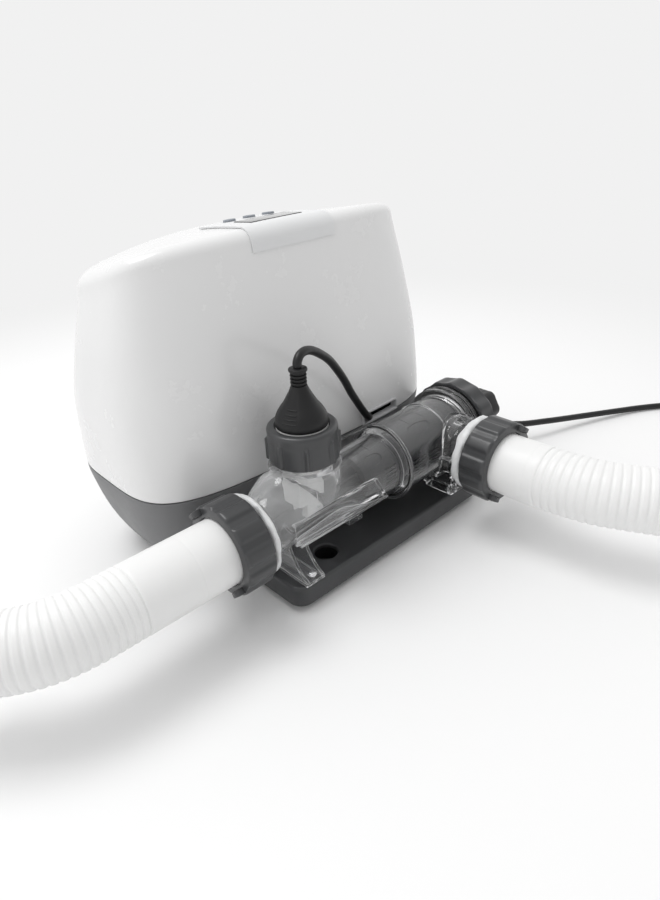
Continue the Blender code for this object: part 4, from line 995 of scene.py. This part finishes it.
def build_vessel_screws():
    for name, x, y, z in VESSEL_SCREWS:
        profile = round_profile(
            [(0, 10.5), (1.6, 12.0), (1.6, z + GAP), (4.0, z + GAP), (4.0, z + 1.6),
             (2.6, z + 2.9), (0, z + 3.3)], [0, 0.3, 0, 0.3, 0.8, 1.0, 0])
        screw = turned(profile, upright(x, y), 48, name=name + "_head", finish="screw_chrome")
        # cross recess
        for degrees in (25, 115):
            turn = Matrix.Rotation(math.radians(degrees), 4, 'Z')
            place = Matrix.Translation((x / 1000, y / 1000, 0)) @ turn @ MILLIMETRES
            cut(screw, box((-2.1, -0.45, z + 1.5), (2.1, 0.45, z + 5.0), matrix=place))
        sharpen(screw)
        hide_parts(name)


# ================================================================== union collars
def flute_wave(u, depth):
    """Broad lands with shallow rounded valleys between them."""
    v = 0.5 - 0.5 * math.cos(2 * math.pi * u)
    return -depth * (1 - smooth01((v - 0.12) / 0.5))


def scallop_wave(u, depth):
    """Even lobes."""
    return -depth * (0.5 + 0.5 * math.cos(2 * math.pi * u))


def rib_wave(u, depth):
    """A slim rib with a faint groove on each side."""
    d = min(u, 1 - u)
    return (1.7 * (1 - smooth01((d - 0.034) / 0.034))
            - depth * (1 - smooth01(abs(d - 0.125) / 0.05)))


def collar_profile(radius, bore, lip_bore, length, lip, ribbed):
    """Closed section: radius, height, share of the grip wave."""
    profile = [(bore + 0.5, 0.0, 0.0), (radius - 2.4, 0.0, 0.0)]
    if ribbed:              # the ribs stop short of a smooth rim band
        rib_top = length * 0.66
        profile += [(radius - 1.6, 0.3, 0.0), (radius - 0.95, 1.0, 0.4),
                    (radius - 0.75, 2.2, 1.0)]
        profile += [(radius - 0.75 - 0.1 * i / 8.0, 2.2 + (rib_top - 2.2) * i / 8.0, 1.0)
                    for i in range(1, 9)]
        profile += [(radius - 0.9, rib_top + 0.7, 0.75), (radius - 0.95, rib_top + 1.3, 0.3),
                    (radius - 0.97, rib_top + 1.8, 0.0), (radius - 1.0, length - 4.0, 0.0)]
        radius = radius - 1.0
    else:
        profile += [(radius - 0.9, 0.25, 0.3), (radius - 0.25, 0.9, 0.7), (radius, 2.0, 1.0)]
        profile += [(radius, 2.0 + (length - 4.6) * i / 8, 1.0) for i in range(1, 8)]
    grip = 0.0 if ribbed else 1.0
    return profile + [
        (radius, length - 2.6, grip), (radius - 0.35, length - 1.3, 0.7 * grip),
        (radius - 1.2, length - 0.35, 0.3 * grip), (radius - 2.8, length, 0.0),
        (lip_bore + 0.6, length, 0.0), (lip_bore, length - 0.6, 0.0),
        (lip_bore, length - lip, 0.0), (bore, length - lip, 0.0), (bore, 0.5, 0.0)]


def collar_ear(angle, radius, length, matrix):
    """Curved tongue that stands out of the collar's outer face."""
    half_width = math.radians(9.0)
    inner, outer = radius - 6.4, radius - 1.6
    rings = []
    # height above the face, share of the width, rounding of the radii
    for height, width, rounding in ((-3.0, 1.0, 0.0), (3.2, 1.0, 0.0), (5.2, 0.86, 0.3),
                                    (6.3, 0.55, 0.9), (6.6, 0.3, 1.4)):
        angles = [angle + half_width * width * (i / 4.0 - 1) for i in range(9)]
        arc = [(outer - rounding, t) for t in angles]
        arc += [(inner + rounding, t) for t in reversed(angles)]
        rings.append([(r * math.cos(t), r * math.sin(t), length + height) for r, t in arc])
    return loft(rings, matrix)


def collar(name, origin, axis, radius, bore, lip_bore, length, lip, grips, depth, wave,
           steps=None, phase=0.0, ears=()):
    def grip(angle, r, height, share):
        u = ((angle - phase) / (2 * math.pi) * grips) % 1.0
        return r + wave(u, depth) * share

    matrix = axis_matrix(origin, axis)
    profile = collar_profile(radius, bore, lip_bore, length, lip, ribbed=wave is rib_wave)
    nut = turned(profile, matrix, steps or grips * 16, shape=grip, closed=True,
                 name=name + "_nut", finish="collar_grey", body=name)
    for degrees in ears:
        fuse(nut, collar_ear(math.radians(degrees), radius, length, matrix))
    sharpen(nut, 40.0)
    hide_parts(name)


def build_collars():
    hose_nut = dict(radius=36.5, bore=30.6, lip_bore=27.2, lip=2.9, grips=12, depth=1.7,
                    wave=flute_wave)
    collar("inlet_collar", (-120.7, VESSEL_Y, PORT_Z), LEFT, length=24.8,
           ears=(132.0, 312.0), **hose_nut)
    collar("outlet_collar", (OUTLET_X, -183.3, PORT_Z), FRONT, length=24.3,
           ears=(55.0, 235.0), **hose_nut)
    collar("sensor_collar", (SENSOR_X, VESSEL_Y, 114.5), UP, radius=28.2, bore=24.2,
           lip_bore=20.9, length=27.8, lip=2.8, grips=8, depth=0.35, wave=rib_wave,
           steps=288, phase=math.radians(9.8))
    collar("cell_collar", (124.3, VESSEL_Y, CHAMBER_Z), RIGHT, radius=42.5, bore=38.0,
           lip_bore=26.3, length=18.0, lip=3.2, grips=14, depth=2.2, wave=scallop_wave)


# ================================================================== sealing rings
def seal(name, origin, axis, inner, outer, low, high, seed):
    """Ring squeezed out unevenly, like tape; the seed shifts its waves."""
    rings = []
    for k in range(14):
        t = 2 * math.pi * k / 14
        across, along = math.cos(t), math.sin(t)
        outward = max(across, 0)
        ring = []
        for i in range(160):
            a = 2 * math.pi * i / 160
            bulge = (0.5 * math.sin(3 * a + seed) + 0.3 * math.sin(7 * a + 2.1 * seed)
                     + 0.2 * math.sin(13 * a + 0.7 * seed))
            squeeze = 0.5 * math.sin(5 * a + 1.3 * seed) + 0.5 * math.sin(11 * a + seed * 0.4)
            r = ((inner + outer) / 2
                 + (outer - inner) / 2 * math.copysign(abs(across) ** 0.65, across)
                 * (1.0 if across < 0 else 0.84 + 0.16 * bulge))
            h = ((low + high) / 2
                 + (high - low) / 2 * math.copysign(abs(along) ** 0.7, along)
                 * (0.80 + 0.20 * squeeze) * (0.74 + 0.26 * (1 - outward)))
            fold = (0.30 * math.sin(9 * a + 1.6 * h + seed)
                    + 0.18 * math.sin(23 * a - 2.3 * h + 3 * seed)) * outward
            ring.append(((r + fold) * math.cos(a), (r + fold) * math.sin(a), h))
        rings.append(ring)
    tape = loft(rings, axis_matrix(origin, axis), close=True, name=name + "_tape",
                finish="seal_white", angle=60.0)
    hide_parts(name)


def build_seals():
    seal("inlet_seal_ring", (0, VESSEL_Y, PORT_Z), RIGHT, inner=26.3, outer=33.8,
         low=-119.0, high=-112.2, seed=0.6)
    seal("outlet_seal_ring", (OUTLET_X, VESSEL_Y, PORT_Z), FRONT, inner=26.5, outer=33.8,
         low=44.2, high=55.8, seed=2.2)


# ================================================================== hoses
INLET_PATH = [
    (-139.3, VESSEL_Y, PORT_Z), (-160.0, VESSEL_Y, PORT_Z), (-190.0, VESSEL_Y, PORT_Z),
    (-214.0, VESSEL_Y, PORT_Z), (-250.0, -126.6, PORT_Z), (-272.0, -122.5, PORT_Z),
    (-291.0, -113.5, PORT_Z), (-312.0, -98.0, PORT_Z), (-330.0, -81.0, PORT_Z)]
OUTLET_PATH = [
    (OUTLET_X, -201.5, PORT_Z), (OUTLET_X, -212.0, PORT_Z), (OUTLET_X, -222.0, PORT_Z),
    (99.2, -245.0, PORT_Z), (101.8, -268.0, PORT_Z), (106.5, -288.0, PORT_Z),
    (114.5, -307.0, PORT_Z), (124.0, -326.0, PORT_Z), (134.5, -345.0, PORT_Z)]


def hose_stations(cuff, pitch, total):
    """(distance, radius): flange, smooth cuff with a hairline groove, corrugations."""
    flange, smooth, crest, valley = 30.2, 26.3, 26.2, 25.45
    stations = [(0.0, flange), (0.4, flange), (3.0, flange), (3.0, smooth)]
    s = 4.0
    while s < cuff - 2:
        groove = 0.18 * (1 - abs(s - 35.0)) if 34.0 < s < 36.0 else 0.0
        stations.append((s, smooth - groove))
        s += 0.5 if 33.0 < s < 37.0 else 2.0
    stations += [(cuff - 1.2, smooth), (cuff - 0.4, smooth - 0.3), (cuff, smooth - 0.9),
                 (cuff + 0.6, valley)]
    s = cuff + 1.2
    while s < total:
        from_crest = abs(((s - cuff) / pitch) % 1.0 - 0.5) * 2.0
        stations.append((s, crest - (crest - valley) * smooth01((from_crest - 0.42) / 0.50)))
        s += pitch / 12.0
    stations.append((total, stations[-1][1]))
    return stations


def hose(name, path, cuff, pitch):
    samples = 900
    bore = 23.4
    points, total = curve_points(path, samples)
    frames = frames_along(points)

    def ring_at(distance, radius):
        f = min(max(distance / (total / samples), 0.0), samples - 0.001)
        i = int(f)
        centre = points[i].lerp(points[i + 1], f - i)
        tangent, normal, _ = frames[i]
        normal = normal.lerp(frames[i + 1][1], f - i).normalized()
        return circle(centre, radius, normal, tangent.cross(normal), 72)

    rings = [ring_at(s, r) for s, r in hose_stations(cuff, pitch, total)]
    rings += [ring_at(total - total * q / 40.0, bore) for q in range(41)]
    tube = loft(rings, close=True, name=name + "_ribbed", finish="hose_white", body=name,
                angle=60.0)
    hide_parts(name)


# ================================================================== flow sensor
def build_sensor_boot():
    # radius, height
    profile = [
        (0, 142.6), (20.0, 142.6), (20.2, 143.4), (20.2, 146.5), (19.9, 148.6), (18.9, 151.0),
        (17.9, 153.0), (16.6, 155.2), (15.0, 157.4), (13.4, 159.5), (12.1, 161.6),
        (10.9, 163.8), (9.6, 166.0), (8.4, 168.2), (7.4, 170.4), (6.5, 172.4)]
    groove = [(6.25, 0), (6.1, 0.5), (4.75, 0.8), (4.65, 1.25), (4.75, 1.7), (6.0, 2.0),
              (6.15, 2.3)]
    for k in range(4):
        profile += [(r, 173.3 + 2.75 * k + rise) for r, rise in groove]
    profile += [(6.1, 184.3), (6.9, 184.8), (7.1, 185.6), (6.8, 186.6), (5.8, 187.0),
                (3.6, 187.1), (0, 187.1)]

    def flattened(angle, r, height):
        """A shallow hollow on the front."""
        if not 146.0 < height < 172.0:
            return r
        facing = smooth01((math.cos(angle - math.radians(290.0)) - 0.90) / 0.08)
        return r - 0.7 * (facing * math.sin(math.pi * (height - 146.0) / 26.0))

    boot = turned(profile, upright(SENSOR_X, VESSEL_Y), 120, shape=flattened, angle=40.0,
                  name="sensor_boot_body", finish="moulded_black", body="sensor_unit")
    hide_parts("sensor_boot")


def build_sensor_ridges():
    """Four small ridges one above the other on the left of the boot."""
    # height, radius of the boot
    surface = [(143.4, 20.2), (146.5, 20.2), (151.0, 18.9), (155.2, 16.6), (159.5, 13.4),
               (163.8, 10.9)]
    for k in range(4):
        z = 149.6 + 3.0 * k
        r = smooth_curve(surface, z) - 0.45
        angles = [math.radians(200 + 18 * (i / 6.0 - 1)) for i in range(13)]
        path = [(SENSOR_X + r * math.cos(a), VESSEL_Y + r * math.sin(a), z) for a in angles]
        cable(path, 0.55, steps=24, sides=12, tip=0.3, name="sensor_boot_ridge_%d" % (k + 1),
              finish="moulded_black", body="sensor_unit")


def build_switch_block():
    """White block inside the port, above the paddle."""
    box((-75.0, VESSEL_Y - 9.0, 76.6), (-48.4, VESSEL_Y + 9.0, 108.0), bevel=1.6, segments=4,
        name="sensor_switch_block", finish="natural_white", body="sensor_unit")


CABLE_RADIUS = 3.4
SENSOR_CABLE = [
    (SENSOR_X, VESSEL_Y, 187.2), (-58.8, -126.9, 191.2), (-54.0, -125.1, 195.0),
    (-45.0, -122.0, 194.8), (-33.0, -117.6, 189.4), (-15.0, -111.0, 176.8),
    (-2.0, -106.3, 163.6), (11.7, -101.4, 146.8), (22.4, -97.5, 131.3), (33.8, -94.4, 115.9),
    (43.0, -92.4, 103.6), (49.5, -90.6, 96.4), (55.5, -86.0, 92.6), (60.0, -79.5, 91.9)]


def build_sensor_cable():
    """From the boot into the gate."""
    flex = cable(SENSOR_CABLE, CABLE_RADIUS, steps=200, sides=28, name="sensor_cable_flex",
                 finish="cable_black", body=None)
    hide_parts("sensor_cable")
    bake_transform(flex)


# ================================================================== electrode cell
CELL_CABLE_X = 168.0
CELL_CABLE = [
    (CELL_CABLE_X, VESSEL_Y + 26.5, CHAMBER_Z), (CELL_CABLE_X, VESSEL_Y + 36.0, CHAMBER_Z - 0.3),
    (171.0, -78.0, 66.0), (175.0, -62.0, 57.0), (175.0, -51.0, 52.0), (170.0, -46.5, 50.2),
    (162.0, -46.0, 50.0), (152.0, -46.0, 50.0)]
PACK_WALL = 2.2
PACK_NARROW = 21.8          # radius in the body
PACK_WIDE = 27.0            # radius in the chamber
# x, outer radius
PACK = [(-13.0, 15.0), (-12.2, 18.6), (-10.0, 20.6), (-7.0, 21.5), (-2.0, PACK_NARROW),
        (24.0, PACK_NARROW), (27.0, 22.6), (31.0, 26.4), (33.0, PACK_WIDE),
        (111.4, PACK_WIDE)]


def build_cell_boot():
    def grip(angle, r, height):
        """Six shallow hollows along the grip."""
        if height < 150.5 or r < 8.0:
            return r
        u = (angle / (2 * math.pi) * 6.0) % 1.0
        d = abs(u - 0.5) * 2
        return r * (1.0 - 0.085 * smooth01(1.25 - 1.4 * d) * smooth01((height - 150.5) / 6.0))

    profile = round_profile(
        [(0, 143.9), (24.6, 143.9), (25.0, 145.0), (25.0, 149.6), (22.6, 151.0), (20.6, 155.0),
         (19.4, 164.0), (18.8, 176.0), (18.0, 182.6), (14.0, 184.0), (0, 184.0)],
        [0, 0.3, 0.5, 0.6, 1.0, 2.0, 3.0, 3.0, 1.6, 1.0, 0])
    boot = turned(profile, axis_matrix((0, VESSEL_Y, CHAMBER_Z), RIGHT), 120, shape=grip,
                  name="cell_boot_body", finish="moulded_black", body="cell_unit")
    neck = round_profile([(0, 4.0), (9.0, 4.0), (8.4, 20.0), (7.4, 24.5), (6.0, 27.0),
                          (0, 27.0)], 0.6, 3)
    fuse(boot, turned(neck, axis_matrix((CELL_CABLE_X, VESSEL_Y, CHAMBER_Z), BACK), 48))
    for side in (-1, 1):
        axis = axis_matrix((140, VESSEL_Y + 9.0 * side, CHAMBER_Z), RIGHT)
        cut(boot, rod(3.3, 0, 17.0, axis, 32))
    sharpen(boot, 36.0)
    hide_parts("cell_boot")


def build_cell_cable():
    """From the boot round to the gland in the right wall of the base."""
    flex = cable(CELL_CABLE, CABLE_RADIUS, steps=110, sides=24, name="cell_cable_flex",
                 finish="cable_black", body=None)
    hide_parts("cell_cable")
    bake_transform(flex)


def pack_ring(x, radius):
    """C section, open below: the outer arc from front to back, then the inner arc."""
    start, end = math.radians(-34.0), math.radians(214.0)
    arc = [start + (end - start) * i / 60 for i in range(61)]
    section = [(radius, t) for t in arc] + [(radius - PACK_WALL, t) for t in reversed(arc)]
    return [(x, VESSEL_Y - r * math.cos(t), CHAMBER_Z + r * math.sin(t)) for r, t in section]


def pack_matrix(x, degrees, radius):
    """On the pack surface: local x along the vessel, local z outwards; 90 degrees is the top."""
    t = math.radians(degrees)
    outward = Vector((0.0, -math.cos(t), math.sin(t)))
    along = Vector(RIGHT)
    matrix = Matrix((along, outward.cross(along), outward)).transposed().to_4x4()
    matrix.translation = Vector((x, VESSEL_Y, CHAMBER_Z)) + outward * radius
    return MILLIMETRES @ matrix


def pack_dish(x, degrees, radius, half_length, half_width):
    """Tool for a shallow oval recess."""
    outline = []
    for i in range(48):
        t = 2 * math.pi * i / 48
        outline.append((half_length * math.copysign(abs(math.cos(t)) ** 0.8, math.cos(t)),
                        half_width * math.copysign(abs(math.sin(t)) ** 0.8, math.sin(t))))
    return loft([[(x, y, -1.5) for x, y in outline],
                 [(x * 1.25, y * 1.35, 4.0) for x, y in outline]],
                pack_matrix(x, degrees, radius))


def build_pack():
    """Dark cover round the electrode pack, seen through the wall."""
    rings = []
    for (x0, r0), (x1, r1) in zip(PACK[:-1], PACK[1:]):
        count = max(1, int((x1 - x0) / 4.0))
        rings += [pack_ring(x0 + (x1 - x0) * i / count, r0 + (r1 - r0) * i / count)
                  for i in range(count)]
    rings.append(pack_ring(*PACK[-1]))
    cover = loft(rings, name="cell_pack_cover", finish="pack_dark", body="cell_unit",
                 slot="moulded_black")
    cut(cover, pack_dish(2.0, 52.0, PACK_NARROW, 9.5, 4.6),
        pack_dish(62.0, 62.0, PACK_WIDE, 13.0, 5.2))
    # six slots along x in each bay: start, end, radius
    for x0, x1, r in ((9.0, 22.0, PACK_NARROW), (37.0, 54.0, PACK_WIDE),
                      (58.0, 74.0, PACK_WIDE), (78.0, 92.0, PACK_WIDE)):
        for k in range(6):
            degrees = -22.0 + 8.5 * k * PACK_NARROW / r
            cut(cover, box((x0, -0.75, -4.0), (x1, 0.75, 4.0),
                           matrix=pack_matrix(0.0, degrees, r)))
    # shallow notches across the top: x, radius
    for x, r in ((6.0, PACK_NARROW), (36.0, PACK_WIDE), (56.0, PACK_WIDE), (76.0, PACK_WIDE),
                 (96.0, PACK_WIDE)):
        cut(cover, box((x - 0.6, -60.0, -0.9), (x + 0.6, 60.0, 4.0),
                       matrix=pack_matrix(0.0, 90.0, r)))
    sharpen(cover)
    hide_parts("plate_comb_inner", "plate_comb_outer")


# ================================================================== glands, power cord, plug
PLUG_X, PLUG_Z = 480.0, 14.0
PIN_OFFSET = 9.5
POWER_CORD = [
    (150.0, -14.0, 34.0), (158.0, -14.0, 34.0), (167.0, -14.6, 34.0), (181.0, -25.0, 33.0),
    (200.0, -50.0, 30.0), (228.0, -92.0, 25.5), (254.0, -122.0, 21.0), (290.0, -139.0, 16.6),
    (337.0, -156.0, 10.6), (391.0, -179.0, 5.6), (418.0, -193.0, 4.0), (443.0, -212.0, 3.8),
    (464.0, -238.0, 4.0), (475.0, -260.0, 7.0), (479.6, -279.0, 13.2),
    (PLUG_X, -297.2, PLUG_Z)]


def build_glands():
    profile = round_profile(
        [(4.1, 146.0), (7.0, 146.0), (7.0, 156.0), (6.2, 157.0), (6.6, 158.2), (5.8, 159.2),
         (6.2, 160.4), (5.4, 162.5), (4.1, 162.5)],
        [0, 0.4, 0.6, 0.4, 0.4, 0.4, 0.5, 0.6, 0], 3)
    for name, y, z in CABLE_ENTRIES:
        gland = turned(profile, axis_matrix((0, y, z), RIGHT), 48, closed=True,
                       name=name + "_boot", finish="rubber_black")
        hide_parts(name)


def build_power_cord():
    cord = cable(POWER_CORD, CABLE_RADIUS, steps=260, sides=24, name="power_cord_round",
                 finish="cable_black")
    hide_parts("power_cord")


def build_plug():
    bm = box_mesh((PLUG_X - 16.0, -351.0, PLUG_Z - 13.0), (PLUG_X + 16.0, -309.0, PLUG_Z + 13.0))

    def extent_y(edge):
        return (edge.verts[0].co - edge.verts[1].co).y

    long_edges = [e for e in bm.edges if abs(extent_y(e)) > 1]
    bmesh.ops.bevel(bm, geom=long_edges, offset=8.0, segments=8, profile=0.5, affect='EDGES')
    end_edges = [e for e in bm.edges if abs(extent_y(e)) < 1e-4]
    bmesh.ops.bevel(bm, geom=end_edges, offset=1.4, segments=4, profile=0.5, affect='EDGES')
    plug = make(bm, name="power_plug_body", finish="moulded_black")

    relief = [(0, 0), (5.0, 0)]             # ribbed strain relief
    for k in range(4):
        height = 1.0 + 3.0 * k
        r = 5.2 + 0.55 * k
        relief += [(r, height), (r + 0.3, height + 0.8), (r - 0.6, height + 1.5),
                   (r - 0.5, height + 2.4)]
    relief += [(8.5, 14.0), (0, 14.0)]
    fuse(plug, turned(relief, axis_matrix((PLUG_X, -297.4, PLUG_Z), FRONT), 48))
    for side in (-1, 1):
        axis = axis_matrix((PLUG_X + PIN_OFFSET * side, -341.0, PLUG_Z), FRONT)
        cut(plug, rod(2.6, 0, 20.0, axis, 24))
    # upright grooves on the two sides
    for side in (-1, 1):
        for k in range(4):
            y = -316.0 - 5.0 * k
            cut(plug, box((PLUG_X + side * 15.4, y - 1.0, 8.0),
                          (PLUG_X + side * 18.0, y + 1.0, 20.0)))
    sharpen(plug, 40.0)
    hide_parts("power_plug")


def build_pins():
    profile = round_profile([(0, 341.4), (2.3, 341.4), (2.3, 368.4), (0, 369.5)],
                            [0, 0.2, 1.4, 0], 5)
    for side, name in ((-1, "plug_pin_left"), (1, "plug_pin_right")):
        axis = axis_matrix((PLUG_X + PIN_OFFSET * side, 0, PLUG_Z), FRONT)
        pin = turned(profile, axis, 32, name=name + "_round", finish="pin_brass")
        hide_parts(name)


# ================================================================== pieces kept from the frame
KEPT = {
    "screw_chrome": ["housing_screw_%d" % k for k in range(1, 5)] + ["paddle_pin"],
    "rubber_black": ["inlet_gasket", "base_mat", "outlet_gasket", "sensor_gasket",
                     "cell_o_ring"],
    "board_green": ["display_board", "power_board"],
    "winding_copper": ["transformer"],
    "natural_white": ["flow_sensor_body", "flow_paddle"],
    "moulded_black": ["sensor_slip_ring", "cell_slip_ring", "cell_cartridge"],
    "titanium_mesh": ["terminal_post_minus", "terminal_post_plus"]
    + ["electrode_plate_%d" % k for k in range(1, 6)],
}


def finish_kept_pieces():
    for finish, names in KEPT.items():
        for name in names:
            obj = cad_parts[name]
            if len(obj.material_slots) == 0:
                obj.data.materials.append(MATERIALS[finish])
            for slot in obj.material_slots:
                slot.material = MATERIALS[finish]


# ================================================================== studio
BACKDROP = 0.88             # brightness of the background and the far floor


def build_floor():
    """Pale floor that fades into the backdrop, so no horizon shows."""
    bm = bmesh.new()
    bmesh.ops.create_grid(bm, x_segments=2, y_segments=2, size=30.0)
    material, tree, shader = new_material("stage_floor_pale")
    fill(tree, shader, {"Base Color": (0.88, 0.88, 0.88, 1.0), "Roughness": 0.55,
                        "Specular IOR Level": 0.25})
    place = add(tree, "TexCoord").outputs["Object"]
    distance = add(tree, "VectorMath", {0: place}, operation='LENGTH').outputs["Value"]
    fade = remap(tree, distance, to=(0.0, 1.0), over=(0.36, 0.95), curve='SMOOTHSTEP')
    glow = add(tree, "Emission", {"Strength": BACKDROP, "Color": (1.0, 1.0, 1.0, 1.0)})
    surface = mix_shader(tree, fade, shader.outputs[0], glow.outputs[0])
    tree.links.new(surface, tree.nodes["Material Output"].inputs["Surface"])
    floor = make(bm, Matrix(), name="stage_floor")
    floor.data.materials[0] = material


def build_world():
    """Even white studio, darker towards the front for all but camera rays."""
    world = bpy.data.worlds.new("studio")
    bpy.context.scene.world = world
    world.use_nodes = True
    tree = world.node_tree
    darker_side = Vector((0.10, -1.0, 0.0)).normalized()
    direction = add(tree, "TexCoord").outputs["Generated"]
    facing = add(tree, "VectorMath", {0: direction, 1: darker_side}, operation='DOT_PRODUCT')
    strength = remap(tree, facing.outputs["Value"], to=(0.93, 0.60), over=(0.0, 0.80),
                     curve='SMOOTHSTEP')
    is_camera = add(tree, "LightPath").outputs["Is Camera Ray"]
    seen = add(tree, "Mix", {0: is_camera, 2: strength, 3: BACKDROP}, data_type='FLOAT')
    fill(tree, tree.nodes["Background"], {"Strength": seen.outputs[0],
                                          "Color": (1.0, 1.0, 1.0, 1.0)})


def build_light():
    """Square key light above, behind and to the left; metres and watts."""
    light = bpy.data.lights.new("key_overhead", 'AREA')
    light.shape = 'RECTANGLE'
    light.size = 1.3
    light.size_y = 1.3
    light.energy = 29.5
    lamp = bpy.data.objects.new("key_overhead", light)
    bpy.context.scene.collection.objects.link(lamp)
    place, target = Vector((-0.62, 0.72, 2.60)), Vector((0.0, -0.12, 0.05))
    lamp.location = place
    lamp.rotation_euler = (target - place).to_track_quat('-Z', 'Y').to_euler()


def build_camera():
    azimuth, elevation, roll = (math.radians(a) for a in (-41.975, 28.706, -3.282))
    forward = Vector((-math.sin(azimuth) * math.cos(elevation),
                      math.cos(azimuth) * math.cos(elevation), -math.sin(elevation)))
    level = forward.cross(Vector(UP)).normalized()
    rise = level.cross(forward)
    right = math.cos(roll) * level + math.sin(roll) * rise
    up = -math.sin(roll) * level + math.cos(roll) * rise
    data = bpy.data.cameras.new("camera")
    data.sensor_fit = 'AUTO'
    data.sensor_width = 36.0
    data.lens = 26.4812
    data.clip_start = 0.01
    data.clip_end = 50.0
    camera = bpy.data.objects.new("camera", data)
    bpy.context.scene.collection.objects.link(camera)
    matrix = Matrix((right, up, -forward)).transposed().to_4x4()
    matrix.translation = Vector((-0.3426, -0.4720, 0.3624))
    camera.matrix_world = matrix
    bpy.context.scene.camera = camera


# ================================================================== build
build_shell()
build_panel()
build_keys()
build_window()
build_gate()
build_base()
build_tray()
build_tray_well()
build_feet()
build_vessel()
build_vessel_screws()
build_collars()
build_seals()
hose("inlet_hose", INLET_PATH, cuff=78.0, pitch=5.4)
hose("outlet_hose", OUTLET_PATH, cuff=44.0, pitch=6.4)
build_sensor_boot()
build_sensor_ridges()
build_switch_block()
build_sensor_cable()
build_cell_boot()
build_cell_cable()
build_pack()
build_glands()
build_power_cord()
build_plug()
build_pins()
finish_kept_pieces()
build_floor()
build_world()
build_light()
build_camera()
bpy.context.scene.view_settings.view_transform = 'Standard'
